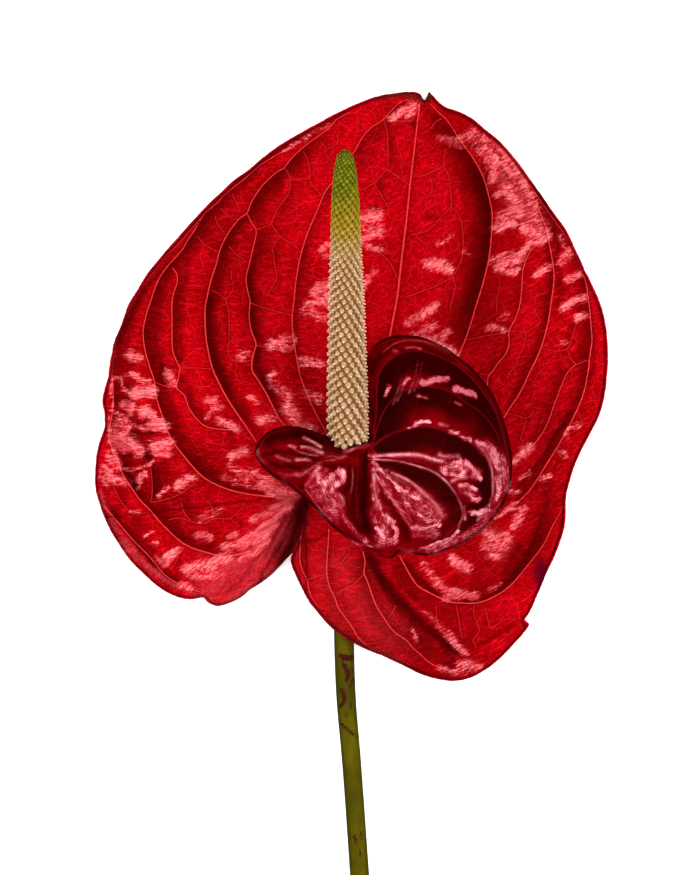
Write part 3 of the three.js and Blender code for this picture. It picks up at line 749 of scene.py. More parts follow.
def measure(points, line):
    """How far each point is from a line, on which side, how far along it, and if it is beyond
    one of its ends."""
    start = line[:-1]
    run = np.diff(line, axis=0)
    squared_run = (run**2).sum(1)
    found = []
    for some in np.array_split(points, max(1, len(points) * len(run) // 2_000_000)):
        offset = some[:, None] - start
        part = (offset * run).sum(2) / squared_run
        inside = part.clip(0, 1)
        gap = offset - inside[..., None] * run
        squared = (gap**2).sum(2)
        pick = squared.argmin(1)
        row = np.arange(len(some))
        side = run[pick, 0] * offset[row, pick, 1] - run[pick, 1] * offset[row, pick, 0]
        along = (pick + inside[row, pick]) / len(run)
        past = ((pick == 0) & (part[row, pick] < 0)) | (
            (pick == len(run) - 1) & (part[row, pick] > 1)
        )
        distance = np.sqrt(squared[row, pick])
        found.append(np.column_stack([distance, np.where(side < 0, -1, 1), along, past]))
    return np.vstack(found).T


def near(points, line, margin):
    """Which points are within margin of the line's box."""
    low = line.min(0) - margin
    high = line.max(0) + margin
    return ((points > low) & (points < high)).all(1)


def eased(value, low, high):
    """0 below low and 1 above high, with a smooth change between."""
    t = ((value - low) / (high - low)).clip(0, 1)
    return t * t * (3 - 2 * t)


def inside(points, outline):
    """Which points are inside a closed outline."""
    result = np.zeros(len(points), bool)
    after = np.roll(outline, -1, axis=0)
    for (ax, ay), (bx, by) in zip(outline, after):
        if ay == by:
            continue
        crosses = (ay > points[:, 1]) != (by > points[:, 1])
        result ^= crosses & (points[:, 0] < (bx - ax) * (points[:, 1] - ay) / (by - ay) + ax)
    return result


GROOVE_BOTTOM = 0.3  # radius of the rounded bottom of a groove
GROOVE_MIX = 3  # how strongly the deepest of several grooves wins
VEIN_DEPTH = 1.55
WIDE_GROOVE = 3.0  # a groove deeper than this has a long slope on its right
WIDE_REACH = 9.0
VEIN_REACH = 1.2
FADE = 0.12  # share of a vein's length over which its groove starts and ends


def groove_depth(points, veins, cross_veins):
    """How deep the grooves of the veins are under each point, in millimetres."""
    total = np.zeros(len(points))
    courses = [(VEIN_DEPTH * d, VEIN_REACH * r, line) for d, r, _, _, line in veins]
    courses += [(CROSS_DEPTH, CROSS_REACH, line) for line in cross_veins]
    for depth, reach, course in courses:
        line = drawn(course)
        close = near(points, line, 6 * reach)
        distance, side, along, _ = measure(points[close], line)
        if depth > WIDE_GROOVE:
            reach = np.where(side < 0, WIDE_REACH, reach)
        ends = 0.3 + 0.7 * eased(along, 0, FADE) * eased(1 - along, 0, FADE)
        blunt = np.sqrt(distance**2 + GROOVE_BOTTOM**2) - GROOVE_BOTTOM
        total[close] += (depth * ends * np.exp(-blunt / reach)) ** GROOVE_MIX
    return total ** (1 / GROOVE_MIX)


def terrace_height(points, veins):
    """Each vein is the edge of a step: the sheet drops on its right and lies level on its left."""
    total = np.zeros(len(points))
    for depth, reach, _, _, course in veins:
        line = drawn(course)
        close = near(points, line, 6 * reach)
        distance, side, along, past = measure(points[close], line)
        ends = eased(along, 0, FADE) * eased(1 - along, 0, 1.5 * FADE)
        over = distance * side
        drop = -depth * np.exp(-np.maximum(-over, 0) / reach) * eased(-over, -0.2, 0.35)
        edge = 0.35 * depth * np.exp(-((over / 1.1) ** 2))
        total[close] += ends * (drop * VEIN_DEPTH + edge) * (1 - past)
    return total


def step_shade(points, veins):
    """The painted shade below each step: 1 right under its edge, fading over STEP_SHADE
    millimetres.
    """
    total = np.zeros(len(points))
    for _, _, _, _, course in veins:
        line = drawn(course)
        close = near(points, line, STEP_SHADE)
        distance, side, along, past = measure(points[close], line)
        dark = 1 - eased(distance, 0.45 * STEP_SHADE, STEP_SHADE)
        dark *= (side < 0) * (1 - past) * eased(1 - along, 0, 3 * FADE)
        total[close] = np.maximum(total[close], dark)
    return total


def fold_height(points, folds):
    """How far the folds lift each point, in millimetres."""
    total = np.zeros(len(points))
    for height, reach, course in folds:
        line = drawn(course)
        close = near(points, line, 5 * reach)
        distance, _, along, _ = measure(points[close], line)
        ends = eased(along, 0, 2 * FADE) * eased(1 - along, 0, 2 * FADE)
        total[close] += height * ends * np.exp(-((distance / reach) ** 2))
    return total


def ragged(points, size, amount):
    """The points moved about a little, so that what is drawn with them gets an uneven edge."""
    spots = np.column_stack([points / size, np.zeros(len(points))])
    return points + amount * np.array([noise.noise_vector(Vector(s))[:2] for s in spots])


def stroke_mask(points, strokes, crispness=2.0):
    """How strongly the strokes cover each point, from 0 to 1. A crisp stroke has steeper edges."""
    total = np.zeros(len(points))
    for width, strength, course in strokes:
        line = drawn(course)
        close = near(points, line, 2.2 * width)
        distance = measure(points[close], line)[0]
        cover = strength * np.exp(-((distance / width) ** crispness))
        total[close] = np.maximum(total[close], cover)
    return total


FAR = 99.0  # half widths, where no vein is near


def vein_distances(corners, centres, courses):
    """For every face, its corners' distances from the vein nearest to its centre, counted in
    half widths of that vein, with opposite signs on the two sides of the vein."""
    nearest = np.full(len(centres), FAR)
    result = np.full(corners.shape[:2], FAR)
    for width_start, width_end, course in courses:
        line = drawn(course, LINE_STEP / 2)
        close = np.flatnonzero(near(centres, line, 3.0))
        if not len(close):
            continue
        distance, _, _, past = measure(centres[close], line)
        better = distance < nearest[close]
        close = close[better]
        past = past[better].astype(bool)
        nearest[close] = distance[better]
        spots = corners[close].reshape(-1, 2)
        distance, side, along, _ = measure(spots, line)
        signs = np.where(np.repeat(past, corners.shape[1]), 1, side)
        width = width_start + (width_end - width_start) * along
        result[close] = (distance * signs / width).reshape(-1, corners.shape[1])
    return result


def keep_veins(piece, flat, veins, cross_veins, start_share=1.0, end_share=1.0):
    """Stores how far the corners of the faces are from the veins' pale lines."""
    corners = flat[get_faces(piece)]
    centres = corners.mean(1)
    courses = [(start_share * start, end_share * end, line) for _, _, start, end, line in veins]
    crosses = [(CROSS_HALF_WIDTH, CROSS_HALF_WIDTH, line) for line in cross_veins]
    vein = vein_distances(corners, centres, courses)
    cross = vein_distances(corners, centres, crosses)
    keep(piece, "CORNER", vein=vein, cross=cross)


def from_spot(points, place, size=(1, 1)):
    """How far each point is from a place on the plan, counted in that size each way."""
    return np.hypot(*((points - from_plan(place)) / size).T)


def bumps(points, size, octaves=2, seed=0.0):
    """Soft random heights between about -1 and 1, with lumps of that size."""
    spots = np.column_stack([points / size, np.full(len(points), seed)])
    return np.array([noise.fractal(Vector(s), 1.0, 2.0, octaves) for s in spots])


# --------------------------------------------------------------------------- mesh helpers

low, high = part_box("large_spathe")
outline_mm = smooth_line(from_plan(LARGE_OUTLINE), 0.5, closed=True)
SHIFT = np.array([
    (low.x + high.x) / 2 / MM - (outline_mm[:, 0].min() + outline_mm[:, 0].max()) / 2,
    high.y / MM - outline_mm[:, 1].max(),
    0.0,
])
VIEW_CENTRE = from_plan((PLAN_SIZE[0] / 2, PLAN_SIZE[1] / 2))


def to_frame(places, from_drawing=True):
    """Millimetres from the stem, as metres in the frame. What stands above the plan's level looks
    larger from above, so what was drawn on the plan comes in towards the middle of the view."""
    places = np.asarray(places, float).copy()
    if from_drawing:
        shrink = 1 - (places[:, 2:] - PLAN_LEVEL) / CAMERA_HEIGHT
        places[:, :2] = VIEW_CENTRE + (places[:, :2] - VIEW_CENTRE) * shrink
    return (places + SHIFT) * MM


def only(piece):
    """Makes piece the only selected object, and the active one."""
    bpy.ops.object.select_all(action="DESELECT")
    piece.select_set(True)
    bpy.context.view_layer.objects.active = piece


def close_seams(piece, gap=1e-6):
    """Joins the points that lie on each other, and turns all faces outwards."""
    only(piece)
    bpy.ops.object.mode_set(mode="EDIT")
    bpy.ops.mesh.select_all(action="SELECT")
    bpy.ops.mesh.remove_doubles(threshold=gap)
    bpy.ops.mesh.normals_make_consistent(inside=False)
    bpy.ops.object.mode_set(mode="OBJECT")


def new_grid(name, columns, rows):
    """A flat grid from 0 to 1 both ways, to be shaped into a piece."""
    bpy.ops.object.select_all(action="DESELECT")
    bpy.ops.mesh.primitive_grid_add(
        x_subdivisions=columns, y_subdivisions=rows, size=1, location=(0, 0, 0)
    )
    piece = bpy.context.object
    piece.name = name
    places = get_places(piece)
    places[:, :2] += 0.5
    set_places(piece, places)
    return piece


def get_places(piece):
    places = np.empty(3 * len(piece.data.vertices), np.float32)
    piece.data.vertices.foreach_get("co", places)
    return places.reshape(-1, 3).astype(float)


def set_places(piece, places):
    piece.data.vertices.foreach_set("co", np.asarray(places, np.float32).ravel())
    piece.data.update()


def get_faces(piece):
    """The vertices of each face, where all faces have four corners."""
    corners = np.empty(len(piece.data.loops), np.int32)
    piece.data.loops.foreach_get("vertex_index", corners)
    return corners.reshape(-1, 4)


def get_polygons(piece):
    """The vertices of each face, whatever its number of corners."""
    return [tuple(face.vertices) for face in piece.data.polygons]


def keep(piece, domain="POINT", **layers):
    """Stores values with a piece for its material, one for each point or corner."""
    for name, values in layers.items():
        layer = piece.data.attributes.new(name, "FLOAT", domain)
        layer.data.foreach_set("value", np.asarray(values, np.float32).ravel())


def keep_vector(piece, name, values):
    layer = piece.data.attributes.new(name, "FLOAT_VECTOR", "POINT")
    layer.data.foreach_set("vector", np.asarray(values, np.float32).ravel())


def face_up(piece):
    """Turns a sheet over if most of it faces down."""
    up = sum(face.normal.z * face.area for face in piece.data.polygons)
    if up < 0:
        only(piece)
        bpy.ops.object.mode_set(mode="EDIT")
        bpy.ops.mesh.select_all(action="SELECT")
        bpy.ops.mesh.flip_normals()
        bpy.ops.object.mode_set(mode="OBJECT")


def thicken(piece):
    """Makes a sheet as thick as a leaf, downwards."""
    only(piece)
    modifier = piece.modifiers.new("thickness", "SOLIDIFY")
    modifier.thickness = LEAF_THICKNESS * MM
    modifier.offset = -1
    bpy.ops.object.modifier_apply(modifier=modifier.name)


def finish_piece(piece, node_name, material, angle=60):
    """Smooths a piece and says what it is made of and which solid it stands for."""
    only(piece)
    bpy.ops.object.shade_smooth_by_angle(angle=math.radians(angle))
    piece.data.materials.clear()
    piece.data.materials.append(material)
    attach(piece, "root")
    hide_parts(node_name)


# --------------------------------------------------------------------------- node helpers


def join(tree, made, inputs):
    """Gives a node its inputs, each a plain value or an output of another node."""
    for key, value in inputs.items():
        if isinstance(value, bpy.types.NodeSocket):
            tree.links.new(value, made.inputs[key])
        else:
            made.inputs[key].default_value = value


def node(tree, kind, inputs=None, **settings):
    made = tree.nodes.new("ShaderNode" + kind)
    for key, value in settings.items():
        setattr(made, key, value)
    join(tree, made, inputs or {})
    return made


def maths(tree, operation, *values):
    return node(tree, "Math", dict(enumerate(values)), operation=operation).outputs[0]


def plus(tree, total, *more):
    for value in more:
        total = maths(tree, "ADD", total, value)
    return total


def times(tree, product, *more):
    for value in more:
        product = maths(tree, "MULTIPLY", product, value)
    return product


def mixture(tree, *parts):
    """The sum of some values, each times its share."""
    return plus(tree, *[times(tree, value, share) for value, share in parts])


def swing(tree, value, size):
    """A value from 0 to 1, as a swing of that size about 0."""
    return times(tree, maths(tree, "SUBTRACT", value, 0.5), size)


def sine(tree, phase):
    """A wave from 0 to 1."""
    return plus(tree, 0.5, times(tree, maths(tree, "SINE", phase), 0.5))


def graded(tree, value, low, high, to_low=0.0, to_high=1.0):
    """A smooth change from to_low to to_high while the value goes from low to high."""
    made = node(
        tree, "MapRange",
        {"Value": value, "From Min": low, "From Max": high, "To Min": to_low, "To Max": to_high},
        interpolation_type="SMOOTHSTEP",
    )
    return made.outputs["Result"]


def cut_off(tree, value, low, high):
    """The value's way from low to high, straight, and never under 0 or over 1."""
    made = node(tree, "MapRange", {"Value": value, "From Min": low, "From Max": high})
    return made.outputs["Result"]


def band(tree, value, start, end):
    """1 between start and end, which are the stretches over which it comes and goes."""
    return times(tree, graded(tree, value, *start), graded(tree, value, *end, 1.0, 0.0))


def cloud(tree, place, scale, detail, rough=0.5, twist=0.0, output="Fac"):
    """Soft noise from 0 to 1."""
    made = node(tree, "TexNoise", {
        "Vector": place, "Scale": scale, "Detail": detail, "Roughness": rough, "Distortion": twist,
    })
    return made.outputs[output]


def scaled(tree, place, scale):
    return node(tree, "Mapping", {"Vector": place, "Scale": scale}).outputs[0]


def paint(tree, colour, *coats):
    """The colour under its coats, each given by how much it covers and its own colour."""
    for amount, over in coats:
        made = node(tree, "Mix", {0: amount, 6: colour, 7: over}, data_type="RGBA")
        colour = made.outputs[2]
    return colour


def stored(tree, name, output="Fac"):
    return node(tree, "Attribute", attribute_name=name).outputs[output]


def relief(tree, height):
    """Bumps of that height in millimetres."""
    return node(tree, "Bump", {"Height": height, "Strength": 1.0, "Distance": MM}).outputs[0]


def rgb(red, green, blue):
    """A colour as the eye sees it, 0 to 255, as the light that it sends back."""
    parts = [c / 255 for c in (red, green, blue)]
    linear = [c / 12.92 if c <= 0.04045 else ((c + 0.055) / 1.055) ** 2.4 for c in parts]
    return (*linear, 1.0)


def new_group(name, inputs, outputs):
    tree = bpy.data.node_groups.new(name, "ShaderNodeTree")
    for label, kind, value in inputs:
        socket = tree.interface.new_socket(label, in_out="INPUT", socket_type="NodeSocket" + kind)
        if value is not None:
            socket.default_value = value
    for label in outputs:
        tree.interface.new_socket(label, in_out="OUTPUT", socket_type="NodeSocketFloat")
    return tree, tree.nodes.new("NodeGroupInput").outputs, tree.nodes.new("NodeGroupOutput")


def use_group(tree, group, inputs):
    made = tree.nodes.new("ShaderNodeGroup")
    made.node_tree = group
    join(tree, made, inputs)
    return made.outputs


def new_material(name):
    material = bpy.data.materials.new(name)
    material.use_nodes = True
    tree = material.node_tree
    skin = tree.nodes["Principled BSDF"]
    where = node(tree, "TexCoord").outputs["Object"]
    return material, tree, skin, where


def make_line_group():
    """A mask that is 1 on a line and 0 away from it, with a soft edge."""
    tree, entry, leave = new_group(
        "vein line", [("Distance", "Float", 0.0), ("Softness", "Float", 0.5)], ["Mask"]
    )
    size = maths(tree, "ABSOLUTE", entry["Distance"])
    outer = plus(tree, 1.0, entry["Softness"])
    inner = maths(tree, "SUBTRACT", 1.0, entry["Softness"])
    join(tree, leave, {"Mask": graded(tree, size, inner, outer, 1.0, 0.0)})
    return tree


def make_net_group():
    """The finest veins, which part the tissue into small many-sided cells."""
    tree, entry, leave = new_group(
        "vein net",
        [("Place", "Vector", None), ("Cell", "Float", 4.0), ("Line", "Float", 0.05)],
        ["Mask", "Pillow", "Ripple"],
    )
    place = entry["Place"]
    wander = cloud(tree, place, 220.0, 2.0, output="Color")
    middle = (0.5, 0.5, 0.5)
    wander = node(tree, "VectorMath", {0: wander, 1: middle}, operation="SUBTRACT").outputs[0]
    wander = node(tree, "VectorMath", {0: wander, "Scale": 0.0022}, operation="SCALE").outputs[0]
    bent = node(tree, "VectorMath", {0: place, 1: wander}, operation="ADD").outputs[0]
    cells = node(
        tree, "TexVoronoi",
        {"Vector": bent, "Scale": maths(tree, "DIVIDE", 1 / MM, entry["Cell"])},
        feature="DISTANCE_TO_EDGE",
        voronoi_dimensions="2D",
    ).outputs["Distance"]
    worm = cloud(tree, place, 900.0, 2.0)
    join(tree, leave, {
        "Mask": graded(tree, cells, 0.0, entry["Line"], 1.0, 0.0),
        "Pillow": graded(tree, cells, 0.0, 0.35),
        "Ripple": sine(tree, mixture(tree, (cells, 48.0), (worm, 9.0))),
    })
    return tree


def make_skin_group():
    """Fine wrinkles of waxy skin, and slow changes of tone over it."""
    tree, entry, leave = new_group(
        "waxy skin",
        [("Place", "Vector", None), ("Wrinkle", "Float", 0.5), ("Patch", "Float", 12.0)],
        ["Height", "Tone", "Patches"],
    )
    place = entry["Place"]
    fine = cloud(tree, place, maths(tree, "DIVIDE", 1 / MM, entry["Wrinkle"]), 3.0, 0.6)
    slow = cloud(tree, place, maths(tree, "DIVIDE", 1 / MM, entry["Patch"]), 4.0, 0.55)
    join(tree, leave, {
        "Height": fine,
        "Tone": graded(tree, fine, 0.35, 0.65),
        "Patches": graded(tree, slow, 0.32, 0.68),
    })
    return tree


VEIN_LINE = make_line_group()
VEIN_NET = make_net_group()
WAXY_SKIN = make_skin_group()


def vein_mask(tree, name, softness):
    """The pale lines of the veins whose distances are stored under that name."""
    return use_group(
        tree, VEIN_LINE, {"Distance": stored(tree, name), "Softness": softness}
    )["Mask"]


# --------------------------------------------------------------------------- materials

FAINT_WAX = 0.002  # gloss of the spathes away from their shiny places
SATIN_WAX = 0.22  # and at their silky places


def large_spathe_material():
    material, tree, skin, where = new_material("large spathe red")
    tissue = use_group(tree, WAXY_SKIN, {"Place": where, "Wrinkle": 0.55, "Patch": 14.0})
    wide = use_group(tree, VEIN_NET, {"Place": where, "Cell": 4.6, "Line": 0.045})
    close = use_group(tree, VEIN_NET, {"Place": where, "Cell": 1.7, "Line": 0.09})
    vein = vein_mask(tree, "vein", 0.55)
    cross = vein_mask(tree, "cross", 0.6)
    from_vein = maths(tree, "ABSOLUTE", stored(tree, "vein"))
    from_cross = maths(tree, "ABSOLUTE", stored(tree, "cross"))
    edge = stored(tree, "rim")
    grain = stored(tree, "grain", "Vector")
    streak = cloud(tree, scaled(tree, grain, (0.42, 1.7, 1.0)), 1.0, 3.0, 0.6, 0.8)
    wave = cloud(tree, scaled(tree, grain, (0.8, 3.0, 1.0)), 1.0, 2.0, 0.5, 1.4)

    glint = stored(tree, "gloss")
    brush = plus(tree, swing(tree, streak, 2.2), swing(tree, wave, 2.8), glint)
    bright = times(tree, cut_off(tree, brush, 0.25, 1.2), graded(tree, glint, 0.0, 0.4))
    satin = times(tree, stored(tree, "satin"), graded(tree, streak, 0.2, 0.8, 0.7, 1.0))
    flank = times(tree, stored(tree, "flank"), graded(tree, streak, 0.3, 0.65, 1.0, 0.6))
    colour = paint(
        tree, rgb(160, 0, 1),
        (tissue["Patches"], rgb(206, 0, 14)),
        (times(tree, tissue["Tone"], 0.66), rgb(108, 0, 0)),
        (times(tree, wide["Ripple"], 0.46), rgb(104, 0, 0)),
        (graded(tree, streak, 0.47, 0.76, 0.0, 0.72), rgb(246, 4, 38)),
        (times(tree, close["Mask"], 0.14), rgb(226, 24, 32)),
        (times(tree, wide["Mask"], 0.3), rgb(226, 30, 40)),
        # painted shade in the grooves
        (times(tree, stored(tree, "hollow"), 0.5), rgb(112, 0, 0)),
        # painted shade beside the cross veins and the main veins
        (graded(tree, from_cross, 1.0, 7.0, 0.42, 0.0), rgb(84, 0, 0)),
        (graded(tree, from_vein, 1.0, 5.0, 0.4, 0.0), rgb(84, 0, 0)),
        # painted shade on slopes that face away from the middle
        (times(tree, stored(tree, "lee"), 0.6), rgb(74, 0, 0)),
        # painted shade on the flanks beside the main veins
        (flank, rgb(60, 0, 0)),
        # painted shade at the very dark places
        (times(tree, stored(tree, "shade"), 0.94), rgb(34, 0, 0)),
        # painted sheen at the silky places, where the coat also shines
        (times(tree, satin, 0.55), rgb(172, 16, 40)),
        # painted highlight at the shiny places, where the coat also shines
        (graded(tree, glint, 0.0, 1.0, 0.0, 0.35), rgb(220, 4, 36)),
        (times(tree, bright, 0.35), rgb(240, 76, 84)),
        (times(tree, cross, 0.45), rgb(236, 40, 42)),
        (times(tree, vein, 0.66), rgb(242, 58, 58)),
        (times(tree, band(tree, edge, (0.05, 0.25), (0.4, 1.1)), 0.85), rgb(56, 2, 8)),
        (stored(tree, "bruise"), rgb(64, 0, 22)),
        (stored(tree, "scorch"), rgb(58, 24, 16)),
    )
    bright = times(tree, bright, graded(tree, edge, 0.5, 1.4))
    wax = maths(tree, "MAXIMUM", bright, times(tree, satin, SATIN_WAX))
    bumps_up = relief(tree, mixture(
        tree,
        (tissue["Height"], 0.12), (streak, 0.45), (wide["Pillow"], 0.15),
        (wide["Ripple"], 0.03), (close["Pillow"], 0.05), (vein, -0.06),
    ))
    join(tree, skin, {
        "Base Color": colour,
        "Roughness": graded(tree, tissue["Height"], 0.3, 0.7, 0.24, 0.40),
        "Specular IOR Level": 0.0,
        "Coat Weight": maths(tree, "MAXIMUM", wax, FAINT_WAX),
        "Coat Roughness": 0.25,
        "Normal": bumps_up,
        "Coat Normal": bumps_up,
    })
    return material


def small_spathe_material():
    material, tree, skin, where = new_material("small spathe maroon")
    tissue = use_group(tree, WAXY_SKIN, {"Place": where, "Wrinkle": 0.45, "Patch": 9.0})
    net = use_group(tree, VEIN_NET, {"Place": where, "Cell": 2.8, "Line": 0.05})
    edge = stored(tree, "rim")
    worm = cloud(tree, where, 420.0, 3.0, 0.6)
    blot = cloud(tree, where, 640.0, 4.0, 0.6)
    ring = sine(tree, mixture(tree, (stored(tree, "swirl"), 9.5), (worm, 16.0)))

    glint = stored(tree, "gloss")
    brush = plus(tree, swing(tree, ring, 0.26), swing(tree, blot, 2.0), glint)
    bright = times(tree, cut_off(tree, brush, 0.22, 1.05), graded(tree, glint, 0.1, 0.45))
    # painted highlight along thin ridges, where the coat also shines
    ridge = times(tree, stored(tree, "ridge"), graded(tree, blot, 0.4, 0.6, 0.5, 0.75))
    bright = maths(tree, "MAXIMUM", bright, ridge)
    colour = paint(
        tree, rgb(86, 0, 0),
        (tissue["Patches"], rgb(130, 0, 8)),
        (times(tree, ring, 0.45), rgb(46, 0, 0)),
        # painted shade at the very dark places and below the steps
        (times(tree, stored(tree, "shade"), 0.96), rgb(38, 0, 0)),
        # painted highlight at the shiny places, where the coat also shines
        (graded(tree, glint, 0.0, 0.6, 0.0, 0.9), rgb(128, 2, 24)),
        (graded(tree, bright, 0.0, 0.35, 0.0, 0.8), rgb(146, 10, 32)),
        (graded(tree, bright, 0.3, 1.0, 0.0, 0.75), rgb(206, 104, 118)),
        (times(tree, net["Mask"], 0.06), rgb(128, 4, 24)),
        (times(tree, vein_mask(tree, "cross", 0.6), 0.2), rgb(120, 6, 20)),
        (times(tree, vein_mask(tree, "vein", 0.6), 0.42), rgb(140, 10, 26)),
        (graded(tree, edge, 0.1, 0.55, 0.9, 0.0), rgb(44, 0, 0)),
        (times(tree, band(tree, edge, (0.45, 0.65), (0.75, 1.1)), 0.16), rgb(150, 16, 30)),
        (times(tree, stored(tree, "lip"), 0.5), rgb(172, 42, 48)),
    )
    bumps_up = relief(tree, mixture(tree, (tissue["Height"], 0.12), (ring, 0.04)))
    join(tree, skin, {
        "Base Color": colour,
        "Roughness": graded(tree, tissue["Height"], 0.3, 0.7, 0.16, 0.30),
        "Specular IOR Level": 0.0,
        "Coat Weight": maths(tree, "MAXIMUM", times(tree, bright, 0.9), FAINT_WAX),
        "Coat Roughness": 0.22,
        "Normal": bumps_up,
        "Coat Normal": bumps_up,
    })
    return material


def spadix_material():
    material, tree, skin, where = new_material("spadix florets")
    grain = use_group(tree, WAXY_SKIN, {"Place": where, "Wrinkle": 0.35, "Patch": 7.0})
    ripe = stored(tree, "towards_tip")
    point = stored(tree, "point")
    tone = stored(tree, "tone")
    cream = paint(tree, rgb(160, 124, 86), (tone, rgb(184, 150, 116)))
    olive = paint(tree, rgb(122, 98, 8), (tone, rgb(148, 120, 24)))
    green = paint(tree, rgb(66, 78, 0), (tone, rgb(104, 104, 2)))
    body = paint(
        tree, cream,
        (graded(tree, ripe, 0.60, 0.76), olive),
        (graded(tree, ripe, 0.76, 0.90), green),
    )
    tip = paint(tree, rgb(232, 202, 184), (graded(tree, ripe, 0.62, 0.82), rgb(150, 144, 44)))
    gap = paint(tree, rgb(106, 70, 34), (graded(tree, ripe, 0.62, 0.84), rgb(44, 54, 0)))
    colour = paint(
        tree, gap,
        (graded(tree, point, 0.15, 0.42), body),
        (graded(tree, point, 0.7, 1.0), tip),
        (times(tree, grain["Tone"], 0.15), rgb(120, 84, 40)),
    )
    join(tree, skin, {
        "Base Color": colour,
        "Roughness": graded(tree, grain["Height"], 0.3, 0.7, 0.42, 0.58),
        "Specular IOR Level": 0.01,
        "Normal": relief(tree, times(tree, grain["Height"], 0.05)),
    })
    return material


def stem_material():
    material, tree, skin, where = new_material("stem green")
    along = scaled(tree, where, (1.0, 0.12, 1.0))
    streaks = use_group(tree, WAXY_SKIN, {"Place": along, "Wrinkle": 0.35, "Patch": 2.2})
    patches = use_group(tree, WAXY_SKIN, {"Place": where, "Wrinkle": 0.5, "Patch": 9.0})
    blotch = plus(tree, stored(tree, "blotch"), swing(tree, patches["Height"], 1.6))
    dim = graded(tree, streaks["Patches"], 0.0, 1.0, 0.85, 0.5)
    colour = paint(
        tree, rgb(62, 56, 0),
        (patches["Patches"], rgb(84, 76, 1)),
        (times(tree, streaks["Patches"], 0.5), rgb(50, 46, 3)),
        (graded(tree, blotch, 0.25, -0.15), rgb(52, 16, 6)),
        # painted shade, darker towards the stalk's left and right sides
        (times(tree, stored(tree, "side"), dim), rgb(26, 24, 0)),
        (stored(tree, "cut"), rgb(196, 196, 128)),
    )
    join(tree, skin, {
        "Base Color": colour,
        "Roughness": graded(tree, streaks["Height"], 0.3, 0.7, 0.34, 0.52),
        "Specular IOR Level": 0.004,
        "Normal": relief(tree, times(tree, streaks["Height"], 0.12)),
    })
    return material


# --------------------------------------------------------------------------- large spathe

MIDDLE_COURSE = [
    (300, 620), (330, 520), (352, 478), (375, 400), (393, 320), (404, 240), (413, 160), (420, 100),
    (424, 80),
]
MIDDLE_WIDTH = 5.0
LEE_SLANT = 1.3
LEE_RANGE = (0.5, 1.22)
# Where the margin is crumpled: column and row on the plan, half width and height in millimetres,
# and how much
CRUMPLED = [
    (128, 425, 8, 16, 1.0), (150, 500, 11, 10, 0.7), (125, 480, 8, 9, 0.9),
    (575, 300, 4, 9, 0.7), (245, 570, 13, 9, 0.25), (270, 535, 6, 8, 0.1),
]
CRUMPLE_HEIGHT = 0.75
CRUMPLE_SIZE = 4.4
BRUSH_TILT = math.radians(24)  # of the fine wrinkles on the right half
BRUSH_TURN = (-20, 40)  # from where to where, across the flower, they turn that way
LEFT_VEINS = 9  # so many veins, from the first, are on the left half or in the middle
PALE_SHARES = (0.58, 0.62)  # of a vein's half widths, at its start and end, that look pale
DEEP_GROOVE = 2.2  # millimetres, where the painted shade in a groove is at its darkest
SLIT_TOP = (306, 494)
FAN_SPREAD = 30.0
FAN_SLOPE = 0.12  # the wrinkles fan out below a line that falls so much to the left of the slit
NARROW_SLIT = -15  # below this the slit is so narrow that cells could bridge it
SLIT_BANK = 2.0  # edge points this near to the narrow slit belong to one side of it
EVEN_RINGS = 3  # rings of points beside the edge that are evened out
EVEN_ROUNDS = 8
SLIT_COURSE = [(304, 484), (304, 496), (303, 512), (300, 528), (297, 542), (292, 556)]
SLIT_TUCK = 1.3  # how far the left lobe's edge goes in under the right one's
SLIT_TUCK_REACH = 2.5
RIM_LIP = 0.35
RIM_LIP_REACH = 0.7
LOWEST = 0.8
BRUISE = (541, 573)
BRUISE_SIZE = (2.2, 4.5)
DRY_TIP = (428, 96)
BROWN_EDGE = [(375, 97), (400, 94), (424, 100)]


def blade_height(places):
    """Height of the large spathe before its veins are pressed into it."""
    knots = np.array(LARGE_HEIGHTS, float)
    gap = places[:, None] - knots[:, :2]
    weight = np.exp(-(gap**2).sum(2) / (2 * HEIGHT_REACH**2))
    return (weight * knots[:, 2]).sum(1) / weight.sum(1)


def slit_roll(places):
    """How far the left lobe rolls down beside the slit."""
    distance, side, along, _ = measure(places, SLIT_MIDDLE)
    start = eased(along * (len(SLIT_MIDDLE) - 1), 0, 2)
    roll = SLIT_ROLL_DEPTH * np.exp(-((distance / SLIT_ROLL_WIDTH) ** 2)) * start
    return np.where(side < 0, roll, 0)


def lee_side(piece, flat):
    """Painted shade, as if lit from over the middle: 1 where a sheet slopes away from its
    middle, where it is painted darker, and 0 where it faces it.
    """
    distance, side, _, _ = measure(flat, drawn(MIDDLE_COURSE))
    inwards = np.tanh(distance * side / MIDDLE_WIDTH)
    normals = np.empty(3 * len(flat), np.float32)
    piece.data.vertex_normals.foreach_get("vector", normals)
    normals = normals.reshape(-1, 3)
    normals *= np.where(normals[:, 2:] < 0, -1, 1)
    facing = LEE_SLANT * (normals[:, 0] * inwards) + normals[:, 2]
    return 1 - eased(facing, *LEE_RANGE)


def flank_shade(points):
    """The painted shade on the flank beside each main vein: on its right on the left half, as
    seen going outwards, and on its left elsewhere."""
    total = np.zeros(len(points))
    for number, (depth, reach, _, _, course) in enumerate(LARGE_VEINS[1:], 1):
        dark_side = -1 if number < LEFT_VEINS else 1
        line = drawn(course)
        close = near(points, line, 4 * reach)
        distance, side, along, past = measure(points[close], line)
        ends = eased(along, 0, FADE) * eased(1 - along, 0, 2 * FADE) * (1 - past)
        dark = min(depth, 1.3) / 1.4 * ends * (side == dark_side)
        dark *= np.exp(-((distance / (0.8 * reach)) ** 1.2))
        total[close] = np.maximum(total[close], dark)
    return total


def crumples(points):
    """How crumpled the margin is, from 0 to 1."""
    total = np.zeros(len(points))
    for column, row, wide, tall, amount in CRUMPLED:
        away = from_spot(points, (column, row), (wide, tall))
        total = np.maximum(total, amount * eased(1.25 - away, 0, 0.6))
    return total


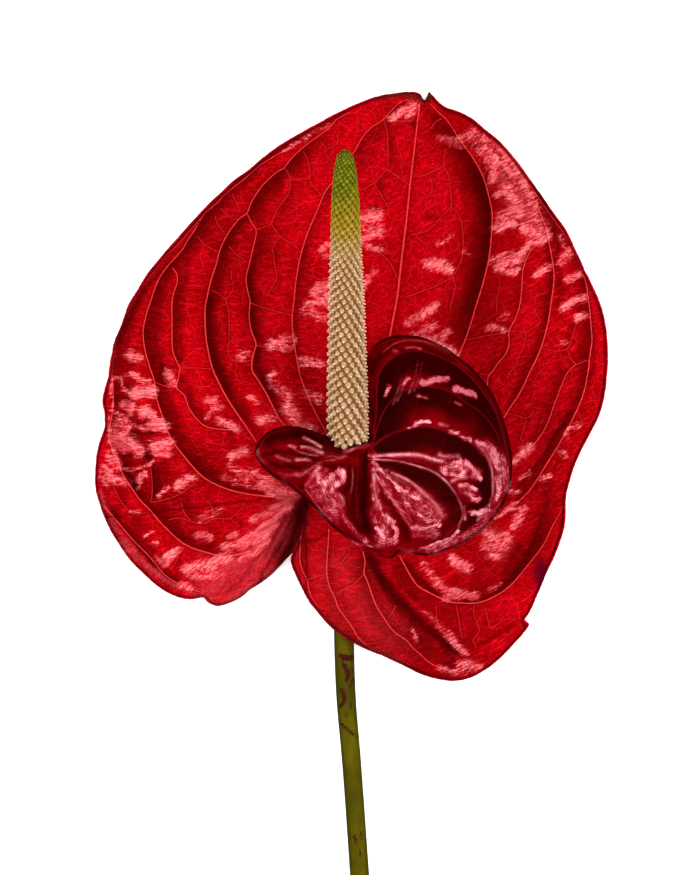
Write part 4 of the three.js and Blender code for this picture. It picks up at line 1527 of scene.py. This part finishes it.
def wrinkle_course(flat):
    """Where each point is along and across the fine wrinkles. Those of the left lobe's foot fan
    out from the top of the slit."""
    x, y = flat.T
    level = np.zeros(len(flat))
    tilt = BRUSH_TILT * eased(x, *BRUSH_TURN)
    grain = np.column_stack([
        x * np.cos(tilt) + y * np.sin(tilt), y * np.cos(tilt) - x * np.sin(tilt), level,
    ])
    x, y = (flat - from_plan(SLIT_TOP)).T
    fan = np.column_stack([np.hypot(x, y), FAN_SPREAD * np.arctan2(y, x), level])
    in_fan = (x < 0) & (y < -FAN_SLOPE * np.abs(x))
    return np.where(in_fan[:, None], fan, grain)


def nearest_on(points, line):
    """The nearest place on the line for each point."""
    start = line[:-1]
    run = np.diff(line, axis=0)
    offset = points[:, None] - start
    part = ((offset * run).sum(2) / (run**2).sum(1)).clip(0, 1)
    place = start + part[..., None] * run
    pick = ((points[:, None] - place) ** 2).sum(2).argmin(1)
    return place[np.arange(len(points)), pick]


def cut_out(piece, flat):
    """Cuts away the cells outside the outline or across the slit, and gives the flat places of
    the points that are left."""
    faces = get_faces(piece)
    centres = flat[faces].mean(1)
    side = measure(flat, SLIT_MIDDLE)[1][faces]
    stays = inside(centres, outline_mm)
    stays &= (side.min(1) == side.max(1)) | (centres[:, 1] > NARROW_SLIT)
    bpy.context.tool_settings.mesh_select_mode = (False, False, True)
    piece.data.vertices.foreach_set("select", np.zeros(len(flat), bool))
    piece.data.edges.foreach_set("select", np.zeros(len(piece.data.edges), bool))
    piece.data.polygons.foreach_set("select", ~stays)
    keep_vector(piece, "flat", np.column_stack([flat, np.zeros(len(flat))]))
    only(piece)
    bpy.ops.object.mode_set(mode="EDIT")
    bpy.ops.mesh.delete(type="FACE")
    bpy.ops.object.mode_set(mode="OBJECT")
    left = np.empty(3 * len(piece.data.vertices), np.float32)
    piece.data.attributes["flat"].data.foreach_get("vector", left)
    piece.data.attributes.remove(piece.data.attributes["flat"])
    return left.reshape(-1, 3)[:, :2].astype(float)


def fit_edge(faces, flat, loop):
    """Moves the edge points onto the outline, each bank of the narrow slit onto its own side, and
    evens out the points beside them."""
    sides = np.sort(np.stack([faces, np.roll(faces, -1, 1)], 2).reshape(-1, 2), 1)
    edges, uses = np.unique(sides, axis=0, return_counts=True)
    on_rim = np.zeros(len(flat), bool)
    on_rim[edges[uses == 1].ravel()] = True
    loop_side = measure(loop, SLIT_MIDDLE)[1]
    distance, side, _, _ = measure(flat, SLIT_MIDDLE)
    by_slit = on_rim & (distance < SLIT_BANK) & (flat[:, 1] < NARROW_SLIT)
    clear = on_rim & ~by_slit
    flat[clear] = nearest_on(flat[clear], loop)
    for way in (-1, 1):
        own = by_slit & (side == way)
        flat[own] = nearest_on(flat[own], loop[loop_side == way])
    near_rim = on_rim.copy()
    for _ in range(EVEN_RINGS):
        touched = near_rim[edges].any(1)
        near_rim[edges[touched].ravel()] = True
    moving = near_rim & ~on_rim
    for _ in range(EVEN_ROUNDS):
        total = np.zeros_like(flat)
        count = np.zeros(len(flat))
        for a, b in ((0, 1), (1, 0)):
            np.add.at(total, edges[:, a], flat[edges[:, b]])
            np.add.at(count, edges[:, a], 1)
        flat[moving] = (total / np.maximum(count, 1)[:, None])[moving]


def tuck_slit(flat):
    """Slides the left lobe's edge in under the right one's beside the top of the slit."""
    distance, side, along, _ = measure(flat, drawn(SLIT_COURSE))
    close = np.exp(-((distance / SLIT_TUCK_REACH) ** 2)) * eased(1 - along, 0, 0.25)
    flat[:, 0] += np.where(side < 0, SLIT_TUCK, -0.3 * SLIT_TUCK) * close


def make_large_spathe():
    low = outline_mm.min(0) - LARGE_CELL
    high = outline_mm.max(0) + LARGE_CELL
    columns, rows = np.ceil((high - low) / LARGE_CELL).astype(int)
    piece = new_grid("large_spathe_blade", columns, rows)
    flat = cut_out(piece, low + get_places(piece)[:, :2] * (high - low))
    loop = np.vstack([outline_mm, outline_mm[:1]])
    fit_edge(get_faces(piece), flat, loop)

    rim_distance = measure(flat, loop)[0]
    roll = slit_roll(flat)
    tuck_slit(flat)
    groove = groove_depth(flat, LARGE_VEINS, LARGE_CROSS_VEINS)
    uneven = ragged(flat, 2.4, 0.6)
    glints = stroke_mask(uneven, LARGE_GLINTS, LARGE_CRISPNESS)
    height = blade_height(flat) - roll - groove + fold_height(flat, LARGE_FOLDS)
    height += 0.35 * bumps(flat, 9.0) + 0.10 * bumps(flat, 3.2, seed=7.0)
    height += SHINE_LIFT * glints
    height += CRUMPLE_HEIGHT * crumples(flat) * bumps(flat, CRUMPLE_SIZE, 1, seed=4.0)
    height += RIM_LIP * np.exp(-((rim_distance / RIM_LIP_REACH) ** 2))
    set_places(piece, to_frame(np.column_stack([flat, np.maximum(height, LOWEST)])))

    shade = stroke_mask(ragged(flat, 3.0, 0.5), LARGE_SHADES)
    dry = eased(1.6 - from_spot(flat, DRY_TIP), 0, 1)
    brown = 0.6 * eased(0.9 - measure(flat, drawn(BROWN_EDGE))[0], 0, 0.6)
    keep_veins(piece, flat, LARGE_VEINS, LARGE_CROSS_VEINS, *PALE_SHARES)
    keep_vector(piece, "grain", wrinkle_course(flat))
    keep(
        piece,
        lee=lee_side(piece, flat),
        hollow=(groove / DEEP_GROOVE).clip(0, 1) ** 1.6,
        flank=flank_shade(flat),
        gloss=glints,
        shade=shade,
        satin=stroke_mask(uneven, LARGE_SATIN) * (1 - 0.85 * shade),
        rim=rim_distance,
        bruise=0.8 * eased(1.3 - from_spot(flat, BRUISE, BRUISE_SIZE), 0, 0.9),
        scorch=np.maximum(dry, brown),
    )
    thicken(piece)
    finish_piece(piece, "large_spathe", large_spathe_material())


# --------------------------------------------------------------------------- small spathe

LIP_COURSE = [(330, 455), (340, 456), (350, 451), (358, 448), (365, 447), (369, 445)]
RING_SPREAD = 0.8  # below 1, the rings of points lie closer together towards the rim


def make_small_spathe():
    piece = new_grid("small_spathe_bowl", SMALL_RAYS, SMALL_RINGS)
    around, out = get_places(piece)[:, :2].T
    rim = smooth_line(SMALL_RIM, 0.25, closed=True)
    share = np.linspace(0, 1, len(rim) + 1)
    loop = np.vstack([rim, rim[:1]])
    centre = np.array(SMALL_CENTRE, float)

    def middle(around, out):
        edge = np.column_stack([np.interp(around % 1, share, c) for c in loop.T])
        place = centre + (edge - centre) * out[:, None]
        rise = (edge[:, 2] - centre[2]) * out**BOWL_STEEPNESS
        place[:, 2] = centre[2] + rise - BOWL_DIP * np.sin(np.pi * out)
        return place

    out = out**RING_SPREAD
    place = middle(around, out)
    step = 1e-3
    safe = np.maximum(out, 0.02)
    here = middle(around, safe)
    normal = np.cross(middle(around, safe + step) - here, middle(around + step, safe) - here)
    normal /= np.linalg.norm(normal, axis=1)[:, None]
    normal[normal[:, 2] < 0] *= -1
    flat = place[:, :2]
    terraces = SMALL_VEINS[:TERRACES]
    groove = groove_depth(flat, SMALL_VEINS[TERRACES:], SMALL_CROSS_VEINS)
    depth = terrace_height(flat, terraces) - groove + fold_height(flat, SMALL_FOLDS)
    depth += 0.25 * bumps(flat, 4.0, seed=3.0)
    place += normal * (depth * eased(out, 0.0, 0.12))[:, None]
    set_places(piece, to_frame(place))

    uneven = ragged(ragged(flat, 2.0, 0.5), 0.8, 0.3)
    broad = [glint for glint in SMALL_GLINTS if glint[0] > THIN_GLINT]
    thin = [glint for glint in SMALL_GLINTS if glint[0] <= THIN_GLINT]
    edge = middle(around, np.ones_like(out))
    lip = measure(flat, drawn(LIP_COURSE, 0.5))[0]
    keep_veins(piece, flat, SMALL_VEINS, SMALL_CROSS_VEINS)
    keep(
        piece,
        gloss=stroke_mask(uneven, broad, SMALL_CRISPNESS),
        ridge=stroke_mask(flat, thin),
        shade=np.maximum(stroke_mask(uneven, SMALL_SHADES), step_shade(flat, terraces)),
        swirl=np.min([measure(flat, drawn(c))[0] for c in SMALL_SWIRLS], axis=0),
        rim=np.linalg.norm(place - edge, axis=1),
        lip=eased(0.55 - lip, 0, 0.4) * (out > 0.5),
    )
    close_seams(piece)
    face_up(piece)
    thicken(piece)
    finish_piece(piece, "small_spathe", small_spathe_material())
    return piece


# --------------------------------------------------------------------------- spadix

SPADIX_LENGTH = 79.2
SPADIX_TILT = math.radians(25)
SPADIX_BASE = (-0.5, 4.6, 19.5)
SPADIX_LEAN = math.radians(0.6)
SPADIX_PROFILE = [
    (0, 4.3), (1, 5), (4, 5.2), (13, 5.2), (26, 4.85), (40, 4.55), (53, 4.05), (66.5, 3.5),
    (74, 2.9), (77.4, 2.2), (78.7, 1.3), (SPADIX_LENGTH, 0.05),
]
FLORET_TURN = math.radians(194.7)
FLORET_STEP = 0.113
FLORET_RADIUS = 5.1  # of the spadix where the step above was measured
FLORET_HEIGHT = 1.0
FLORET_SIDES = 8
# How far each ring of a floret goes in and up, from its pad to its point
FLORET_RINGS = [(0.17, 0.10), (0.20, 0.20), (0.20, 0.30), (0.17, 0.33), (0.12, 0.19)]
CORE_DEPTH = 0.75  # how far the core lies below the tops of the florets
CORE_SHARE = 0.992  # of the spadix's length


def spadix_radius(along):
    profile = np.array(SPADIX_PROFILE, float)
    return np.interp(along, profile[:, 0], profile[:, 1])


def spadix_to_mm(around, along, radius):
    """A place on the spadix, in millimetres from the stem."""
    x = radius * np.sin(around)
    z = radius * np.cos(around)
    local = np.column_stack([x, along, z])
    turn = Matrix.Rotation(SPADIX_LEAN, 3, "Z") @ Matrix.Rotation(SPADIX_TILT, 3, "X")
    return local @ np.array(turn).T + SPADIX_BASE


def make_floret():
    """One floret, on a radius of 1: a low four-sided pad with a pointed knob on it. Its x runs
    round the spadix, its y towards the tip and its z outwards, in millimetres."""
    bpy.ops.object.select_all(action="DESELECT")
    bpy.ops.mesh.primitive_cylinder_add(
        vertices=FLORET_SIDES, radius=1.0, depth=0.5, end_fill_type="NGON", location=(0, 0, 0)
    )
    floret = bpy.context.object
    only(floret)
    bpy.ops.object.mode_set(mode="EDIT")
    bpy.ops.mesh.select_mode(type="FACE")
    bpy.ops.mesh.select_all(action="DESELECT")
    bpy.ops.object.mode_set(mode="OBJECT")
    for face in floret.data.polygons:
        face.select = face.normal.z > 0.5
    bpy.ops.object.mode_set(mode="EDIT")
    for inward, up in FLORET_RINGS:
        bpy.ops.mesh.inset(thickness=inward, depth=0)
        bpy.ops.transform.translate(value=(0, 0, up))
    bpy.ops.mesh.poke()
    bpy.ops.mesh.select_all(action="DESELECT")
    bpy.ops.object.mode_set(mode="OBJECT")
    for face in floret.data.polygons:
        face.select = face.normal.z < -0.5
    bpy.ops.object.mode_set(mode="EDIT")
    bpy.ops.mesh.delete(type="FACE")
    bpy.ops.object.mode_set(mode="OBJECT")
    return floret


def hidden_by(sheet):
    """A test for florets: true if the sheet cuts through one and hides it from above."""
    tree = BVHTree.FromPolygons(
        [vertex.co for vertex in sheet.data.vertices], get_polygons(sheet)
    )
    up = Vector((0, 0, 1))

    def test(spots, point):
        top = Vector(spots[point])
        middle = Vector(spots.mean(0))
        if not (tree.ray_cast(top, up)[0] or tree.ray_cast(middle, up)[0]):
            return False
        runs = [Vector(spot) - top for spot in spots]
        return any(run.length > 0 and tree.ray_cast(top, run, run.length)[0] for run in runs)

    return test


def make_core(material):
    """The smooth body under the florets, seen in the gaps between them."""
    core = new_grid("spadix_core", 40, 120)
    around, along = get_places(core)[:, :2].T
    length = SPADIX_LENGTH * along
    radius = np.maximum(spadix_radius(length) - CORE_DEPTH, 0.0)
    radius *= 0.55 + 0.45 * eased(length, 0.5, 5)
    radius[(along == 0) | (along == 1)] = 0
    places = spadix_to_mm(2 * np.pi * around, length * CORE_SHARE, radius)
    set_places(core, to_frame(places, False))
    keep(core, towards_tip=along, point=np.zeros_like(along), tone=np.full_like(along, 0.5))
    close_seams(core, 1e-7)
    finish_piece(core, "spadix", material)


def make_florets(material, hidden):
    """The florets, one after the other up a spiral, smaller and flatter towards the tip."""
    floret = make_floret()
    shape = get_places(floret)
    faces = get_polygons(floret)
    bpy.data.objects.remove(floret)
    x, y, z = shape.T
    above = z - z.min()
    point = above / above.max()

    rng = np.random.default_rng(11)
    places, joined, tips, points, tones = [], [], [], [], []
    along = 0.6
    turn = 0.0
    while along < SPADIX_LENGTH - 0.5:
        radius = spadix_radius(along)
        size = radius / FLORET_RADIUS
        share = along / SPADIX_LENGTH
        flat = 1 - 0.72 * eased(np.float64(share), 0.60, 0.80)
        flat *= 0.3 + 0.7 * eased(np.float64(along), 0.8, 3.2)
        grow = size * rng.uniform(0.94, 1.06)
        lean = 0.42 * point**1.5 * flat * grow
        outwards = radius - FLORET_HEIGHT * flat + (above - 0.4) * flat * grow
        outwards = np.minimum(outwards, radius + 0.12)
        base = max(radius - 0.5, 0.3)
        angle = turn + x * 0.98 * grow / base + rng.uniform(-0.02, 0.02)
        upwards = along + y * 1.02 * grow - lean + rng.uniform(-0.06, 0.06)
        place = spadix_to_mm(angle, np.minimum(upwards, SPADIX_LENGTH), outwards)
        tone = rng.uniform()
        if not hidden(to_frame(place, False), outwards.argmax()):
            start = len(shape) * len(places)
            places.append(place)
            joined += [tuple(v + start for v in face) for face in faces]
            tips.append(np.full(len(shape), share))
            points.append(point)
            tones.append(np.full(len(shape), tone))
        turn -= FLORET_TURN
        along += FLORET_STEP * size
    mesh = bpy.data.meshes.new("spadix_florets")
    mesh.from_pydata(to_frame(np.vstack(places), False).tolist(), [], joined)
    florets = bpy.data.objects.new("spadix_florets", mesh)
    bpy.context.scene.collection.objects.link(florets)
    keep(
        florets,
        towards_tip=np.concatenate(tips),
        point=np.concatenate(points),
        tone=np.concatenate(tones),
    )
    finish_piece(florets, "spadix", material)


def make_spadix(small_spathe):
    material = spadix_material()
    hidden = hidden_by(small_spathe)
    make_core(material)
    make_florets(material, hidden)


# --------------------------------------------------------------------------- stem

STEM_RADIUS = 2.5
STEM_CUT_ANGLE = math.radians(35)
STEM_LINE = [
    (12.4, -254.5, 2.5), (11.4, -230, 2.5), (9, -190, 2.5), (5.9, -150, 2.5), (2.6, -105, 2.6),
    (0.4, -74, 3), (-0.9, -58.7, 3.8), (-1.5, -42.7, 5.2), (-1.5, -26, 7.4), (-1.4, -13, 9.8),
    (-1.2, -5.6, 11.6), (-0.8, -3.2, 12.8), (0.6, -1.4, 14.2), (2.6, 0.4, 16.0),
]
STEM_NECK = 8  # rings over which it narrows where it carries the small spathe
STEM_SIDES = 40
STEM_RING = 0.7
CUT_RINGS = 12  # rings that the slanted cut reaches over
# Small random blotches: so many, with half widths between these, and none on the upper side
# beyond that length, where the drawn ones are
DOTS = 70
DOT_WIDTHS = (0.2, 0.8)
DRAWN_FROM = 150
UNBLOTCHED = 9.0  # millimetres, where no blotch is near
# Blotches of the stem, as half width in millimetres and course on the plan
STEM_BLOTCHES = [
    (0.75, [(341, 656), (347, 658), (354, 657)]),
    (0.55, [(343, 664), (348, 672), (347, 680)]),
    (0.35, [(352, 668), (354, 676), (351, 684)]),
    (0.12, [(349, 640), (349, 650)]),
    (0.12, [(350, 684), (351, 696)]),
    (0.5, [(341, 690), (344, 695), (343, 703), (340, 706)]),
    (0.2, [(351, 702), (351, 708)]),
    (0.25, [(346, 713), (347, 716)]),
    (0.4, [(341, 724), (349, 731), (357, 736)]),
    (0.3, [(354, 836), (356, 842)]),
    (0.25, [(361, 832), (362, 838)]),
    (0.25, [(360, 850), (361, 857)]),
]


def stem_blotches(line):
    """The blotches as half widths and courses on the unrolled skin, in millimetres round the stem
    and along it: first the drawn ones, then random ones."""
    strokes = []
    total = len(line) * STEM_RING
    for width, course in STEM_BLOTCHES:
        off, side, far, _ = measure(drawn(course, 0.4), line)
        turn = np.arcsin((off * -side / STEM_RADIUS).clip(-0.98, 0.98))
        length = far * (len(line) - 1) * STEM_RING
        strokes.append((width, np.column_stack([turn * STEM_RADIUS, length])))
    rng = np.random.default_rng(5)
    for _ in range(DOTS):
        start = np.array([rng.uniform(-np.pi, np.pi) * STEM_RADIUS, rng.uniform(0, total)])
        if abs(start[0]) < 0.5 * np.pi * STEM_RADIUS and start[1] > DRAWN_FROM:
            continue
        bend = rng.uniform(-1.8, 1.8, 2)
        end = start + bend + rng.uniform(-1, 1, 2)
        strokes.append((rng.uniform(*DOT_WIDTHS), np.array([start, start + bend, end])))
    return strokes


def make_stem():
    line = smooth_line(STEM_LINE, STEM_RING)
    rings = len(line)
    piece = new_grid("stem_stalk", STEM_SIDES, rings + 1)
    around, along = get_places(piece)[:, :2].T
    row = np.round(along * (rings + 1)).astype(int)
    ring = (row - 1).clip(0, rings - 1)
    ahead = np.gradient(line, axis=0)
    ahead /= np.linalg.norm(ahead, axis=1)[:, None]
    across = np.cross(ahead, (0, 0, 1))
    across /= np.linalg.norm(across, axis=1)[:, None]
    up = np.cross(across, ahead)
    angle = 2 * np.pi * around
    ridges = 0.035 * np.cos(5 * angle + 0.03 * ring) + 0.02 * np.cos(9 * angle)
    swell = 0.05 * np.sin(ring * 0.045) + 0.04 * np.sin(ring * 0.019 + 1)
    radius = STEM_RADIUS + ridges + swell - 0.06
    radius *= 1 - 0.45 * ((ring - rings + STEM_NECK) / STEM_NECK).clip(0, 1)
    radius[(row == 0) | (row == rings + 1)] = 0
    places = (
        line[ring]
        + across[ring] * (radius * np.sin(angle))[:, None]
        + up[ring] * (radius * np.cos(angle))[:, None]
    )
    # The knife took the lower end off at a slant
    slant = math.tan(STEM_CUT_ANGLE) * (places[:, 2] - line[0][2])
    places[:, 1] += (1 - ring / CUT_RINGS).clip(0, 1) * (slant + STEM_RADIUS * 0.7)
    set_places(piece, to_frame(places))

    flat_line = line[:, :2]
    far = measure(places[:, :2], flat_line)[2]
    half_turn = (angle + np.pi) % (2 * np.pi) - np.pi
    unrolled = np.column_stack([half_turn * STEM_RADIUS, far * (rings - 1) * STEM_RING])
    blotch = np.full(len(places), UNBLOTCHED)
    for width, stroke in stem_blotches(flat_line):
        close = near(unrolled, stroke, 4.0)
        if close.any():
            gap = measure(unrolled[close], stroke)[0] - width
            blotch[close] = np.minimum(blotch[close], gap)
    # painted shade: the stalk is darker towards its left and right sides, as seen from above
    side = eased(np.abs(np.sin(angle)), 0.55, 1.0)
    keep(piece, blotch=blotch, side=side, cut=row == 0)
    close_seams(piece)
    finish_piece(piece, "stem", stem_material(), angle=50)


# --------------------------------------------------------------------------- studio

WHITE = (1.0, 1.0, 1.0)
ROSE = (1.0, 0.66, 0.70)
AIM = (0.09, 0.015)  # y and z of what the lamps point at, in metres
# Name, place, size, power, colour, and which kind of things it lights
LAMPS = [
    ("left softbox", (-0.44, 0.10, 0.46), (0.6, 0.3), 3.6, WHITE, "both"),
    ("right softbox", (0.44, 0.02, 0.46), (0.8, 0.3), 4.8, WHITE, "both"),
    ("top softbox", (0.0, 0.10, 1.30), (1.2, 1.2), 9.0, WHITE, "matt things"),
    ("ceiling", (0.0, 0.05, 1.60), (3.4, 3.4), 520.0, ROSE, "glossy things"),
]


def make_table():
    bpy.ops.object.select_all(action="DESELECT")
    bpy.ops.mesh.primitive_plane_add(size=30, location=(0, 0, 0))
    floor = bpy.context.object
    floor.name = "table"
    material, tree, skin, _ = new_material("white table")
    join(tree, skin, {
        "Base Color": (0.92, 0.92, 0.92, 1),
        "Roughness": 0.8,
        "Specular IOR Level": 0.0,
        "Emission Color": (1, 1, 1, 1),
        "Emission Strength": 0.55,
    })
    floor.data.materials.append(material)


def make_lamps():
    middle = Vector(((cad_box[0][0] + cad_box[1][0]) / 2, *AIM))
    for name, place, size, power, colour, lit in LAMPS:
        light = bpy.data.lights.new(name, "AREA")
        light.shape = "RECTANGLE"
        light.size, light.size_y = size
        light.energy = power
        light.color = colour
        lamp = bpy.data.objects.new(name, light)
        bpy.context.scene.collection.objects.link(lamp)
        lamp.location = place
        lamp.visible_glossy = lit != "matt things"
        lamp.visible_diffuse = lit != "glossy things"
        aim = middle - Vector(place)
        lamp.rotation_euler = aim.to_track_quat("-Z", "Y").to_euler()


def make_room():
    """Pale where the camera looks past the table, dim where it lights things, and dimmest where
    glossy things mirror it."""
    world = bpy.data.worlds.new("soft room")
    world.use_nodes = True
    tree = world.node_tree
    rays = node(tree, "LightPath").outputs
    strength = graded(tree, rays["Is Glossy Ray"], 0.0, 1.0, 0.15, 0.01)
    seen = times(tree, rays["Is Camera Ray"], 0.7)
    join(tree, tree.nodes["Background"], {
        "Color": (1, 1, 1, 1),
        "Strength": maths(tree, "MAXIMUM", strength, seen),
    })
    bpy.context.scene.world = world
    bpy.context.scene.view_settings.view_transform = "Standard"


def make_camera():
    data = bpy.data.cameras.new("camera")
    camera = bpy.data.objects.new("camera", data)
    bpy.context.scene.collection.objects.link(camera)
    camera.location = (np.array([*VIEW_CENTRE, PLAN_LEVEL + CAMERA_HEIGHT]) + SHIFT) * MM
    data.sensor_width = SENSOR
    data.lens = SENSOR * CAMERA_HEIGHT / (PLAN_SIZE[1] * SQUARE_MM)
    data.clip_end = 60
    bpy.context.scene.camera = camera


make_camera()
make_large_spathe()
small_spathe = make_small_spathe()
make_spadix(small_spathe)
make_stem()
make_table()
make_lamps()
make_room()
